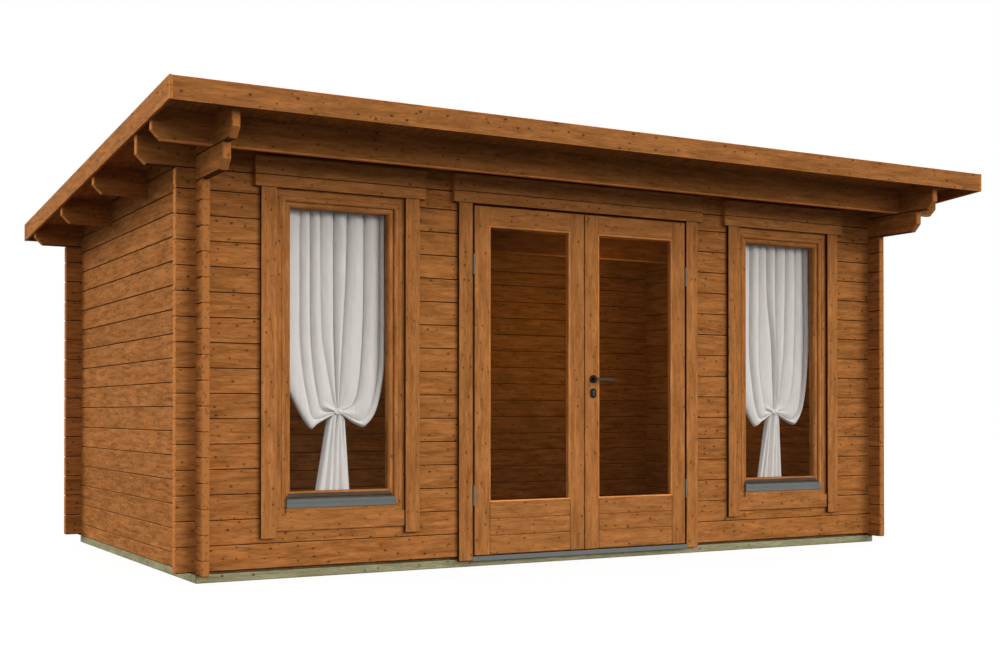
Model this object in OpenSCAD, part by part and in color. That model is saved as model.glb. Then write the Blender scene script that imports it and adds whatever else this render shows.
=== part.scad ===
// Wooden garden cabin of interlocking logs, with a single-slope roof, a glazed double door
// between two tall windows, and a curtain tied up behind each window.
// Millimetres. +Z is up and the front faces -Y. The origin is on the ground, under the middle
// of the roof.

/* [Walls] */
// Width over the outer faces of the side walls
wall_w = 4860; // [4200:10:6000]
// Depth over the outer faces of the front and back walls
wall_d = 2710; // [2300:10:3600]
// Thickness of a wall log
log_t = 44; // [34:1:70]
// Height of one course of logs
log_h = 135; // [112:1:162]
// Whole courses under the front plate log
courses = 16; // [14:1:18]
// What the lowest course has over a whole log
foot_h = 13; // [0:1:30]
// What is sawn off the course under each plate log
rip_h = 24; // [0:1:40]
// Height of the front plate log, at its front face
plate_h = 215; // [180:1:240]
// Length of the log ends that run past the crossing walls
log_end = 110; // [80:1:160]

/* [Base] */
// Height of the foundation bearers
bearer_h = 45; // [37:1:70]
// Width of the foundation bearers
bearer_w = 70; // [45:1:100]
// How far the bearers stand back from the wall faces
bearer_setback = 3; // [0:1:20]
// Number of cross bearers, side ones included
cross_bearers = 7; // [5:2:11]
// Thickness of the floor boards
floor_t = 19; // [16:1:28]

/* [Roof] */
// From the front wall face to the front fascia face
roof_front = 670; // [640:5:900]
// From the back wall face to the back fascia face
roof_back = 240; // [180:5:400]
// From a side wall face to the side fascia face
roof_side = 335; // [250:5:500]
// Fall of the roof to the back, in degrees
roof_slope = 4.42; // [3:0.01:5]
// Thickness of the roof boards
deck_t = 20; // [16:1:28]
// Thickness of the roofing felt
felt_t = 3; // [2:0.5:6]
// Height of the fascia boards
fascia_h = 116; // [100:1:160]
// Thickness of the fascia boards
fascia_t = 20; // [16:1:28]
// How far the fascia boards stand up over the deck
fascia_lip = 29; // [10:1:40]
// Height of a purlin
purlin_h = 162; // [140:1:170]
// Chamfer at the lower corner of purlin and corbel ends
end_chamfer = 50; // [20:1:60]
// From the front wall face out to the eaves purlin's front face
eaves_purlin_out = 290; // [200:5:340]
// From the front wall face in to the first middle purlin's front face
middle_purlin_1 = 952; // [700:1:1100]
// From the front wall face in to the second middle purlin's front face
middle_purlin_2 = 1809; // [1600:1:2000]
// How far the lower corbel log runs past the front wall face
lower_corbel = 452; // [360:1:480]
// How far the upper corbel log runs past the front wall face
upper_corbel = 595; // [500:1:610]

/* [Windows] */
// From the middle of the front to the middle of a window
window_x = 1600; // [1420:5:1750]
// Clear width inside the casing
window_w = 652; // [400:1:800]
// From the foot of the walls up to a sash
window_sill_up = 392; // [300:1:900]
// From the front plate log down to a sash's upper edge
window_top_drop = 132; // [130:1:400]
// Width of a casing member
casing_w = 75; // [50:1:90]
// Depth of casings and door frame, from the wall face inwards
casing_d = 70; // [60:1:100]
// What the side trim laps over a casing or door frame
trim_lap = 15; // [5:1:30]
// Visible width of a sash member
sash_w = 31; // [25:1:60]
// How far a sash stands back from the wall face
sash_recess = 13; // [5:1:25]
// What a sash's lower rail has over its other members
sash_foot_extra = 3; // [0:1:40]
// Thickness of a sash
sash_t = 50; // [40:1:56]
// Thickness of a glazing unit
glass_t = 14; // [4:1:24]
// From a sash's lower edge down to the sill board
sill_drop = 89; // [60:1:110]
// Height of the sill board
sill_h = 89; // [60:1:120]
// How far the sill board stands out from the wall face
sill_out = 14; // [8:1:24]
// Height of the metal flashing over the sill board
flashing_h = 48; // [30:1:60]
// How far the flashing stands out from the wall face
flashing_out = 18; // [15:1:30]
// From a sash's lower edge down to the flashing's upper edge
flashing_drop = 8; // [4:1:12]

/* [Trims] */
// Width of a side trim board
trim_w = 90; // [60:1:120]
// Thickness of a side trim board
trim_t = 25; // [16:1:30]
// Thickness of a head board
head_t = 32; // [26:1:40]
// How far a head board runs past the side trims
head_past = 35; // [10:1:60]
// Height of a head board
head_h = 165; // [120:1:180]
// From a casing's upper edge down to the window's head board
head_lap = 9; // [0:1:20]
// How far a window's side trims run below the sill board
trim_below_sill = 37; // [0:1:80]
// How far the door's side trims hang below the wall logs
trim_below_wall = 7; // [0:1:20]
// How far a head board's upper edge flares out
head_flare = 16; // [0:1:30]

/* [Door] */
// Clear width between the side trims of the door
door_w = 1560; // [1300:5:1700]
// From the front plate log down to the door's head board
door_drop = 60; // [58:1:200]
// Thickness of a door leaf
leaf_t = 44; // [36:1:56]
// Width of a leaf's stiles
stile_w = 108; // [80:1:130]
// Height of a leaf's top rail
top_rail_h = 120; // [80:1:160]
// Height of the boarded part at a leaf's foot
panel_h = 317; // [200:1:700]
// Gap at the hinge side and over a leaf
leaf_gap = 14; // [12:1:18]
// Gap between the two leaves
meeting_gap = 7; // [6:1:12]
// From the foot of the walls up to a leaf
leaf_rise = 22; // [20:1:50]
// Gap between a closed leaf and its stop or threshold
stop_gap = 6; // [5:1:10]
// Width of the stop behind a leaf's edge
stop_lap = 30; // [20:1:40]
// Width of a door frame member
jamb_w = 30; // [25:1:50]
// Thickness of the metal threshold
threshold_t = 4; // [3:0.5:6]
// Height of the threshold's front face
threshold_h = 27; // [20:1:40]

/* [Door fittings] */
// Length of a hinge
hinge_l = 120; // [80:1:144]
// Radius of a hinge knuckle
knuckle_r = 6; // [5:0.5:6]
// Radius of a hinge pin
pin_r = 3.5; // [3:0.5:4]
// Clearance round a hinge pin
pin_clearance = 0.1; // [0.05:0.01:0.2]
// How far the hinge axis stands out from the leaf's face
hinge_axis_out = 3; // [3:0.5:6]
// From a leaf's edge to its nearer hinge middle, at the top
hinge_from_top = 345; // [150:5:500]
// From a leaf's edge to its nearer hinge middle, at the foot
hinge_from_foot = 352; // [150:5:500]
// Thickness of a hinge plate
hinge_plate_t = 2.5; // [2:0.5:4]
// From the middle of a stile to the lever's axis, towards the hinges
lever_shift = 4; // [0:1:8]
// From a leaf's lower edge up to the lever's axis
lever_up = 1044; // [900:1:1100]
// Length of the lever from its axis
lever_l = 122; // [90:1:146]
// Radius of the lever's grip
lever_r = 8; // [6:0.5:10]
// From the leaf's face to the middle of the lever's grip
lever_out = 46; // [35:1:60]
// Radius of the rosette behind the lever
rosette_r = 25; // [20:1:27]
// Thickness of rosettes and escutcheons
plate_t = 8; // [4:1:10]
// From the lever's axis down to the lock's middle
lock_drop = 87; // [76:1:92]
// Width of an escutcheon
escutcheon_w = 40; // [36:1:46]
// Height of an escutcheon
escutcheon_h = 60; // [50:1:66]

/* [Curtains] */
// From a sash's lower edge up to the knot of a curtain
knot_up = 468; // [300:1:700]
// From the middle of a window to the knot
knot_x = 25; // [-80:1:80]
// Radius of the knot
knot_r = 50; // [35:1:55]
// How far the gathered cloth sags under the knot
lobe_drop = 95; // [40:1:130]
// From the knot out to the lowest point on each side of it
lobe_out = 160; // [110:5:200]
// Width of the cloth's tail under the knot
tail_w = 240; // [150:1:360]
// How far a curtain's tail hangs below the sash's lower edge
tail_drop = 30; // [0:1:80]
// Radius of a curtain rod
rod_r = 8; // [6:1:10]
// From a sash's upper edge up to the rod's axis
rod_up = 45; // [30:1:60]
// How far a rod runs past a sash on each side
rod_past = 60; // [30:5:120]
// How far a curtain runs past a sash on each side
curtain_past = 20; // [5:5:30]
// Thickness of a hanging curtain with its folds
curtain_t = 70; // [40:1:100]
// Gap between a curtain and the casing
curtain_gap = 12; // [5:1:40]

/* [Hidden] */

stain = "#a8703f";
stain_dark = "#7d4d28";
treated = "#8f8f6e";
felt_grey = "#3d3f40";
zinc = "#8b9499";
black_iron = "#1c1c1d";
cloth = "#e3e1de";

// Number of facets on round parts
fine = 64;
// What a cutting body runs past the faces that it cuts
cut = 1;
// Gap between the logs and the roof boards
deck_gap = 0.05;
// Least height of the side logs' top laps at the back, under the roof
lap_cover = 15;
// Gap between the two halves of a hinge
hinge_play = 1;
// Thickness of the closed top of a hinge
hinge_cap = 9;
// Room over the end of a hinge pin
pin_end_play = 2;
// Radii of the lever's parts, and the room round its neck
spindle_r = 6;
spindle_bore_r = 8;
neck_r = 10;
neck_clearance = 0.4;
// Outline of the lock cylinder
lock_r = 8.5;
lock_slot_r = 5;
lock_h = 33;
// How far the lock cylinder stands out of its plates
lock_proud = 2;
// Width of a curtain rod's brackets, and how far they stand in from its ends
bracket_w = 6;
bracket_in = 25;

half_w = wall_w / 2;
roof_w = wall_w + 2 * roof_side;
roof_d = wall_d + roof_front + roof_back;
deck_x = roof_w / 2 - fascia_t;
fascia_front_y = -roof_d / 2;
fascia_back_y = roof_d / 2;
front_y = fascia_front_y + roof_front;
back_y = front_y + wall_d;

wall_foot_z = bearer_h;
floor_top_z = bearer_h + floor_t;
course_z = wall_foot_z + foot_h;
front_plate_z = course_z + courses * log_h - rip_h;
back_plate_z = front_plate_z - log_h;
gable_z = front_plate_z - log_h / 2;
corbel_joint_z = gable_z + log_h;
roof_h = front_plate_z + plate_h;
above = roof_h + 500;
eaves_purlin_y = front_y - eaves_purlin_out;
middle_purlin_ys = [front_y + middle_purlin_1, front_y + middle_purlin_2];
// The heights at which the side logs lap over the back plate log, and the eaves purlin over the corbels
back_lap_z = min(course_z + (courses - 0.25) * log_h, under(back_y) - lap_cover);
eaves_lap_z = (corbel_joint_z + under(eaves_purlin_y)) / 2;

window_sill_z = wall_foot_z + window_sill_up;
window_top_z = front_plate_z - window_top_drop;
casing_x = window_w / 2 + casing_w;
casing_top_z = window_top_z + casing_w;
window_trim_x = casing_x - trim_lap;
window_head_z = casing_top_z - head_lap;
glass_x = window_w / 2 - sash_w;
sash_foot_h = sash_w + sash_foot_extra;
sill_board_top_z = window_sill_z - sill_drop;
sill_board_foot_z = sill_board_top_z - sill_h;
casing_foot_z = sill_board_foot_z + trim_lap;
flashing_top_z = window_sill_z - flashing_drop;
flashing_z = flashing_top_z - flashing_h;

door_trim_x = door_w / 2;
wall_gap_x = door_trim_x + jamb_w;
door_head_z = front_plate_z - door_drop;
leaf_face_y = front_y - trim_t;
leaf_back_y = leaf_face_y + leaf_t;
leaf_foot_z = wall_foot_z + leaf_rise;
leaf_top_z = door_head_z - leaf_gap;
leaf_x = meeting_gap / 2;
leaf_w = door_trim_x - leaf_gap - leaf_x;
pane_x0 = leaf_x + stile_w;
pane_x1 = leaf_x + leaf_w - stile_w;
glass_foot_z = leaf_foot_z + panel_h;
glass_top_z = leaf_top_z - top_rail_h;
stop_y = leaf_back_y + stop_gap;
threshold_top_z = leaf_foot_z - stop_gap;
frame_sill_z = threshold_top_z - threshold_t;
hinge_x = door_trim_x - leaf_gap / 2;
hinge_y = leaf_face_y - hinge_axis_out;
hinge_zs = [leaf_top_z - hinge_from_top, leaf_foot_z + hinge_from_foot];
lever_x = leaf_x + stile_w / 2 + lever_shift;
lever_z = leaf_foot_z + lever_up;
lock_z = lever_z - lock_drop;

rod_y = front_y + casing_d + curtain_gap + curtain_t / 2;
rod_z = window_top_z + rod_up;
knot_z = window_sill_z + knot_up;

// Height of the roof boards' underside at depth y
function under(y) = roof_h - tan(roof_slope) * (y - front_y);
function purlin_z(y0) = under(y0 + log_t / 2) - purlin_h;

// A profile given as [y, z] points, run from x0 to x1
module along_x(x0, x1) {
    translate([x0, 0, 0]) rotate([90, 0, 90]) linear_extrude(x1 - x0) children();
}

// A profile given as [x, z] points, run from y0 to y1
module along_y(y0, y1) {
    translate([0, y1, 0]) rotate([90, 0, 0]) linear_extrude(y1 - y0) children();
}

module box(low, high) {
    translate(low) cube(high - low);
}

module both_sides() {
    children();
    mirror([1, 0, 0]) children();
}

module at_windows() {
    for (side = [-1, 1]) translate([side * window_x, 0, 0]) children();
}

// A layer that follows the roof, between two heights over the roof boards' underside
module roof_layer(x0, x1, y0, y1, z0, z1) {
    along_x(x0, x1) polygon([
        [y0, under(y0) + z0], [y1, under(y1) + z0], [y1, under(y1) + z1], [y0, under(y0) + z1]
    ]);
}

// All the room under the roof boards between x0 and x1, and y0 and y1
module under_roof(x0, x1, y0, y1) {
    roof_layer(x0 - cut, x1 + cut, y0 - cut, y1 + cut, -above, -deck_gap);
}

// The heights at which the side walls' logs fill a pair of crossings. The front and back walls' logs
// fill the rest, but over lap_z the side logs fill everything.
module side_bands(y0, lap_z) {
    both_sides() {
        box([-half_w, y0, lap_z], [-half_w + log_t, y0 + log_t, above]);
        box([-half_w, y0, wall_foot_z], [-half_w + log_t, y0 + log_t, course_z + log_h / 4]);
        for (k = [1 : courses + 2])
            box(
                [-half_w, y0, course_z + (k - 0.25) * log_h],
                [-half_w + log_t, y0 + log_t, course_z + (k + 0.25) * log_h]
            );
    }
}

module long_bands(y0, lap_z) {
    for (k = [0 : courses + 2]) {
        low = course_z + (k + 0.25) * log_h;
        if (low < lap_z) both_sides()
            box([-half_w, y0, low], [-half_w + log_t, y0 + log_t, min(low + log_h / 2, lap_z)]);
    }
}

module crossings_of_sides() {
    side_bands(front_y, roof_h);
    side_bands(back_y - log_t, back_lap_z);
}

module crossings_of_long_walls() {
    long_bands(front_y, roof_h);
    long_bands(back_y - log_t, back_lap_z);
}

// A purlin or plate log with its front face at y0 and chamfered ends, cut to the roof on top
module roof_log(y0, z0) {
    intersection() {
        along_y(y0, y0 + log_t) polygon([
            [-deck_x + end_chamfer, z0], [deck_x - end_chamfer, z0],
            [deck_x, z0 + end_chamfer], [deck_x, above],
            [-deck_x, above], [-deck_x, z0 + end_chamfer]
        ]);
        under_roof(-deck_x, deck_x, y0, y0 + log_t);
    }
}

module long_bearers() {
    x1 = half_w - bearer_setback;
    color(treated) for (y0 = [front_y + bearer_setback, back_y - bearer_setback - bearer_w])
        box([-x1, y0, 0], [x1, y0 + bearer_w, bearer_h]);
}

module cross_bearers() {
    first = -half_w + bearer_setback;
    pitch = (wall_w - 2 * bearer_setback - bearer_w) / (cross_bearers - 1);
    color(treated) for (k = [0 : cross_bearers - 1])
        box(
            [first + k * pitch, front_y + bearer_setback + bearer_w, 0],
            [first + k * pitch + bearer_w, back_y - bearer_setback - bearer_w, bearer_h]
        );
}

module floor_boards() {
    x1 = half_w - log_t;
    color(stain) box([-x1, front_y + log_t, bearer_h], [x1, back_y - log_t, floor_top_z]);
}

module front_wall_side() {
    window_hole = [window_x - casing_x, window_x + casing_x];
    difference() {
        box([-half_w - log_end, front_y, wall_foot_z], [-wall_gap_x, front_y + log_t, front_plate_z]);
        box(
            [-window_hole[1], front_y - cut, casing_foot_z],
            [-window_hole[0], front_y + log_t + cut, casing_top_z]
        );
        crossings_of_sides();
    }
}

module front_wall_left() {
    color(stain) front_wall_side();
}

module front_wall_right() {
    color(stain) mirror([1, 0, 0]) front_wall_side();
}

module front_wall_over_door() {
    color(stain) box(
        [-wall_gap_x, front_y, door_head_z + jamb_w],
        [wall_gap_x, front_y + log_t, front_plate_z]
    );
}

module back_wall() {
    x1 = half_w + log_end;
    color(stain) difference() {
        box([-x1, back_y - log_t, wall_foot_z], [x1, back_y, back_plate_z]);
        crossings_of_sides();
    }
}

// A side wall's profile, given as [y, z] points, less the crossings and purlins, cut to the roof on top
module side_logs() {
    difference() {
        intersection() {
            along_x(-half_w, -half_w + log_t) children();
            under_roof(-half_w, -half_w + log_t, front_y - upper_corbel, back_y + log_end);
        }
        crossings_of_long_walls();
        for (y0 = middle_purlin_ys)
            box([-half_w - cut, y0, purlin_z(y0)], [-half_w + log_t + cut, y0 + log_t, above]);
    }
}

module side_wall() {
    side_logs() translate([front_y - log_end, wall_foot_z])
        square([wall_d + 2 * log_end, gable_z - wall_foot_z]);
}

module left_wall() {
    color(stain) side_wall();
}

module right_wall() {
    color(stain) mirror([1, 0, 0]) side_wall();
}

// The two top logs of a side: both run out in front as corbels
module gable_logs() {
    lower_y = front_y - lower_corbel;
    upper_y = front_y - upper_corbel;
    end_y = back_y + log_end;
    difference() {
        side_logs() polygon([
            [lower_y + end_chamfer, gable_z], [end_y, gable_z], [end_y, above],
            [upper_y, above], [upper_y, corbel_joint_z + end_chamfer],
            [upper_y + end_chamfer, corbel_joint_z], [lower_y, corbel_joint_z],
            [lower_y, gable_z + end_chamfer]
        ]);
        box(
            [-half_w - cut, eaves_purlin_y, eaves_lap_z],
            [-half_w + log_t + cut, eaves_purlin_y + log_t, above]
        );
    }
}

module left_gable_logs() {
    color(stain) gable_logs();
}

module right_gable_logs() {
    color(stain) mirror([1, 0, 0]) gable_logs();
}

module front_plate_log() {
    color(stain) difference() {
        roof_log(front_y, front_plate_z);
        crossings_of_sides();
    }
}

module back_plate_log() {
    color(stain) difference() {
        roof_log(back_y - log_t, back_plate_z);
        crossings_of_sides();
    }
}

module eaves_purlin() {
    color(stain) difference() {
        roof_log(eaves_purlin_y, purlin_z(eaves_purlin_y));
        both_sides() box(
            [-half_w, eaves_purlin_y - cut, 0],
            [-half_w + log_t, eaves_purlin_y + log_t + cut, eaves_lap_z]
        );
    }
}

module middle_purlins() {
    color(stain) for (y0 = middle_purlin_ys) roof_log(y0, purlin_z(y0));
}

module roof_deck() {
    color(stain_dark)
        roof_layer(-deck_x, deck_x, fascia_front_y + fascia_t, fascia_back_y - fascia_t, 0, deck_t);
}

module roof_felt() {
    color(felt_grey) roof_layer(
        -deck_x, deck_x, fascia_front_y + fascia_t, fascia_back_y - fascia_t, deck_t, deck_t + felt_t
    );
}

module fascia(x0, x1, y0, y1) {
    top = deck_t + fascia_lip;
    color(stain) roof_layer(x0, x1, y0, y1, top - fascia_h, top);
}

module front_fascia() {
    fascia(-deck_x, deck_x, fascia_front_y, fascia_front_y + fascia_t);
}

module back_fascia() {
    fascia(-deck_x, deck_x, fascia_back_y - fascia_t, fascia_back_y);
}

module side_fascias() {
    both_sides() fascia(-roof_w / 2, -deck_x, fascia_front_y, fascia_back_y);
}

module side_trims() {
    color(stain) {
        at_windows() both_sides() box(
            [window_trim_x, front_y - trim_t, sill_board_foot_z - trim_below_sill],
            [window_trim_x + trim_w, front_y, window_head_z]
        );
        both_sides() box(
            [door_trim_x, front_y - trim_t, wall_foot_z - trim_below_wall],
            [door_trim_x + trim_w, front_y, door_head_z]
        );
    }
}

// A head board whose upper edge flares out, with half its length given
module head_board(half_l, z0) {
    face = front_y - head_t;
    top_z = z0 + head_h;
    along_x(-half_l, half_l) polygon([
        [face, z0], [front_y, z0], [front_y, top_z], [face - head_flare, top_z],
        [face - head_flare, top_z - head_flare / 2], [face, top_z - 2 * head_flare]
    ]);
}

module head_boards() {
    color(stain) {
        at_windows() head_board(window_trim_x + trim_w + head_past, window_head_z);
        head_board(door_trim_x + trim_w + head_past, door_head_z);
    }
}

module window_casings() {
    y1 = front_y + casing_d;
    color(stain) at_windows() difference() {
        box([-casing_x, front_y, casing_foot_z], [casing_x, y1, casing_top_z]);
        box([-window_w / 2, front_y - cut, window_sill_z], [window_w / 2, y1 + cut, window_top_z]);
    }
}

module window_sashes() {
    y0 = front_y + sash_recess;
    y1 = y0 + sash_t;
    color(stain) at_windows() difference() {
        box([-window_w / 2, y0, window_sill_z], [window_w / 2, y1, window_top_z]);
        box([-glass_x, y0 - cut, window_sill_z + sash_foot_h], [glass_x, y1 + cut, window_top_z - sash_w]);
    }
}

module window_glass() {
    y0 = front_y + sash_recess + (sash_t - glass_t) / 2;
    color("lightblue", 0.35) at_windows()
        box([-glass_x, y0, window_sill_z + sash_foot_h], [glass_x, y0 + glass_t, window_top_z - sash_w]);
}

// A sill board whose upper part stands between the casing's stiles
module window_sills() {
    y0 = front_y - sill_out;
    color(stain) at_windows() union() {
        box([-window_trim_x, y0, sill_board_foot_z], [window_trim_x, front_y, sill_board_top_z]);
        box([-window_w / 2, y0, sill_board_foot_z], [window_w / 2, front_y, flashing_z]);
    }
}

module window_flashings() {
    y0 = front_y - flashing_out;
    fall = flashing_drop / 2;
    color(zinc) at_windows() along_x(-window_w / 2, window_w / 2) polygon([
        [front_y, flashing_z], [front_y, flashing_top_z + fall], [y0, flashing_top_z], [y0, flashing_z]
    ]);
}

module curtain_rods() {
    reach = window_w / 2 + rod_past;
    color(black_iron) at_windows() union() {
        translate([-reach, rod_y, rod_z]) rotate([0, 90, 0])
            cylinder(h = 2 * reach, r = rod_r, $fn = fine);
        for (x0 = [-reach + bracket_in, reach - bracket_in - bracket_w])
            box([x0, front_y + casing_d, rod_z - bracket_w], [x0 + bracket_w, rod_y, rod_z + bracket_w]);
    }
}

// A curtain that narrows into a knot and flares out again under it
module curtain() {
    top_x = window_w / 2 + curtain_past;
    top_z = rod_z - rod_r - cut;
    foot_z = window_sill_z - tail_drop;
    straight_z = knot_z + 4 * lobe_drop;
    side_x = 0.86 * top_x;
    lobe_z = knot_z - lobe_drop;
    along_y(rod_y - curtain_t / 2, rod_y + curtain_t / 2) polygon([
        [-top_x, top_z], [-top_x, straight_z], [-side_x, knot_z + lobe_drop],
        [knot_x - lobe_out, lobe_z], [knot_x - knot_r, knot_z - knot_r],
        [knot_x - tail_w / 2, foot_z], [knot_x + tail_w / 2, foot_z],
        [knot_x + knot_r, knot_z - knot_r], [knot_x + lobe_out, lobe_z],
        [side_x, knot_z + lobe_drop], [top_x, straight_z], [top_x, top_z]
    ]);
    translate([knot_x, rod_y, knot_z]) sphere(r = knot_r, $fn = fine);
}

module left_curtain() {
    color(cloth) translate([-window_x, 0, 0]) curtain();
}

module right_curtain() {
    color(cloth) translate([window_x, 0, 0]) curtain();
}

// Where the floor boards run under the inner half of the door frame
module floor_edge() {
    box(
        [-wall_gap_x - cut, front_y + log_t, 0],
        [wall_gap_x + cut, front_y + casing_d + cut, floor_top_z]
    );
}

// Jambs, head and sill
module door_frame() {
    y1 = front_y + casing_d;
    color(stain) difference() {
        box([-wall_gap_x, front_y, wall_foot_z], [wall_gap_x, y1, door_head_z + jamb_w]);
        box([-door_trim_x, front_y - cut, frame_sill_z], [door_trim_x, y1 + cut, door_head_z]);
        floor_edge();
    }
}

// Battens in the frame that the leaves close against
module door_stops() {
    y1 = front_y + casing_d;
    x1 = door_trim_x - stop_lap;
    color(stain) difference() {
        box([-door_trim_x, stop_y, frame_sill_z], [door_trim_x, y1, door_head_z]);
        box([-x1, stop_y - cut, frame_sill_z - cut], [x1, y1 + cut, door_head_z - stop_lap]);
        floor_edge();
    }
}

module door_threshold() {
    y0 = leaf_face_y;
    color(zinc) union() {
        box([-door_trim_x, y0, frame_sill_z], [door_trim_x, stop_y, threshold_top_z]);
        box(
            [-door_trim_x, y0, threshold_top_z - threshold_h],
            [door_trim_x, y0 + threshold_t, threshold_top_z]
        );
    }
}

module hinge_plate(x0, z0, z1) {
    box([x0, hinge_y, z0], [x0 + hinge_plate_t, front_y, z1]);
}

// Lower half of each lift-off hinge, with the pin
module door_frame_hinges() {
    half_l = (hinge_l - hinge_play) / 2;
    color(zinc) both_sides() for (z = hinge_zs) union() {
        translate([hinge_x, hinge_y, z - hinge_l / 2]) {
            cylinder(h = half_l, r = knuckle_r, $fn = fine);
            cylinder(h = hinge_l - hinge_cap - pin_end_play, r = pin_r, $fn = fine);
        }
        hinge_plate(door_trim_x - hinge_plate_t, z - hinge_l / 2, z - hinge_play / 2);
    }
}

// Upper half of each lift-off hinge, carried by the leaf
module leaf_hinges() {
    half_l = (hinge_l - hinge_play) / 2;
    color(zinc) for (z = hinge_zs) difference() {
        union() {
            translate([hinge_x, hinge_y, z + hinge_play / 2])
                cylinder(h = half_l, r = knuckle_r, $fn = fine);
            hinge_plate(door_trim_x - leaf_gap, z + hinge_play / 2, z + hinge_l / 2);
        }
        translate([hinge_x, hinge_y, z - cut])
            cylinder(h = hinge_l / 2 - hinge_cap + cut, r = pin_r + pin_clearance, $fn = fine);
    }
}

// Stiles and top rail of the leaf on the right
module leaf_frame() {
    color(stain) difference() {
        box([leaf_x, leaf_face_y, leaf_foot_z], [leaf_x + leaf_w, leaf_back_y, leaf_top_z]);
        box([pane_x0, leaf_face_y - cut, leaf_foot_z - cut], [pane_x1, leaf_back_y + cut, glass_top_z]);
    }
}

// Boarded foot of the leaf on the right
module leaf_panel() {
    color(stain) box([pane_x0, leaf_face_y, leaf_foot_z], [pane_x1, leaf_back_y, glass_foot_z]);
}

module leaf_glass() {
    y0 = leaf_face_y + (leaf_t - glass_t) / 2;
    color("lightblue", 0.35) box([pane_x0, y0, glass_foot_z], [pane_x1, y0 + glass_t, glass_top_z]);
}

// A lock cylinder's outline: round above, and a narrower slot with a round end below
module lock_outline() {
    low_z = lock_z - lock_h / 2 + lock_slot_r;
    high_z = lock_z + lock_h / 2 - lock_r;
    translate([lever_x, high_z]) circle(r = lock_r, $fn = fine);
    translate([lever_x, low_z]) circle(r = lock_slot_r, $fn = fine);
    translate([lever_x - lock_slot_r, low_z]) square([2 * lock_slot_r, high_z - low_z]);
}

module rosette_outline() {
    translate([lever_x, lever_z]) difference() {
        circle(r = rosette_r, $fn = fine);
        circle(r = neck_r + neck_clearance, $fn = fine);
    }
}

// An upright plate with round ends, and a hole for the lock cylinder
module escutcheon_outline() {
    r = escutcheon_w / 2;
    straight = escutcheon_h - escutcheon_w;
    difference() {
        union() {
            for (dz = [-straight / 2, straight / 2])
                translate([lever_x, lock_z + dz]) circle(r = r, $fn = fine);
            translate([lever_x - r, lock_z - straight / 2]) square([escutcheon_w, straight]);
        }
        lock_outline();
    }
}

module left_door_frame() {
    mirror([1, 0, 0]) leaf_frame();
}

module left_door_panel() {
    mirror([1, 0, 0]) leaf_panel();
}

module left_door_glass() {
    mirror([1, 0, 0]) leaf_glass();
}

module left_door_hinges() {
    mirror([1, 0, 0]) leaf_hinges();
}

module right_door_frame() {
    color(stain) difference() {
        leaf_frame();
        translate([lever_x, leaf_face_y - cut, lever_z]) rotate([-90, 0, 0])
            cylinder(h = leaf_t + 2 * cut, r = spindle_bore_r, $fn = fine);
        along_y(leaf_face_y - cut, leaf_back_y + cut) lock_outline();
    }
}

module right_door_panel() {
    leaf_panel();
}

module right_door_glass() {
    leaf_glass();
}

module right_door_hinges() {
    leaf_hinges();
}

// Rosettes and escutcheons on both faces of the right leaf
module handle_plates() {
    color(black_iron) for (y0 = [leaf_face_y - plate_t, leaf_back_y]) {
        along_y(y0, y0 + plate_t) rosette_outline();
        along_y(y0, y0 + plate_t) escutcheon_outline();
    }
}

module lock_cylinder() {
    proud = plate_t + lock_proud;
    color(zinc) along_y(leaf_face_y - proud, leaf_back_y + proud) lock_outline();
}

// A lever on each face, joined by a spindle through the leaf
module door_lever() {
    mid_y = leaf_face_y + leaf_t / 2;
    reach = leaf_t / 2 + lever_out;
    neck_y = leaf_t / 2 + neck_clearance;
    color(black_iron) translate([lever_x, mid_y, lever_z]) union() {
        rotate([90, 0, 0]) cylinder(h = 2 * (neck_y + cut), r = spindle_r, center = true, $fn = fine);
        for (face = [-1, 1]) {
            rotate([-90 * face, 0, 0]) translate([0, 0, neck_y])
                cylinder(h = reach - neck_y, r = neck_r, $fn = fine);
            translate([0, face * reach, 0]) {
                rotate([0, 90, 0]) cylinder(h = lever_l - lever_r, r = lever_r, $fn = fine);
                translate([lever_l - lever_r, 0, 0]) sphere(r = lever_r, $fn = fine);
                sphere(r = neck_r, $fn = fine);
            }
        }
    }
}

long_bearers();
cross_bearers();
floor_boards();
front_wall_left();
front_wall_right();
front_wall_over_door();
back_wall();
left_wall();
right_wall();
left_gable_logs();
right_gable_logs();
front_plate_log();
back_plate_log();
eaves_purlin();
middle_purlins();
roof_deck();
roof_felt();
front_fascia();
back_fascia();
side_fascias();
side_trims();
head_boards();
window_casings();
window_sashes();
window_glass();
window_sills();
window_flashings();
curtain_rods();
left_curtain();
right_curtain();
door_frame();
door_stops();
door_threshold();
door_frame_hinges();
left_door_frame();
left_door_panel();
left_door_glass();
left_door_hinges();
right_door_frame();
right_door_panel();
right_door_glass();
right_door_hinges();
handle_plates();
lock_cylinder();
door_lever();
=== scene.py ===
"""A garden cabin of interlocking logs: its logs, boards, joinery, fittings, curtains and stage."""

import math

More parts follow.
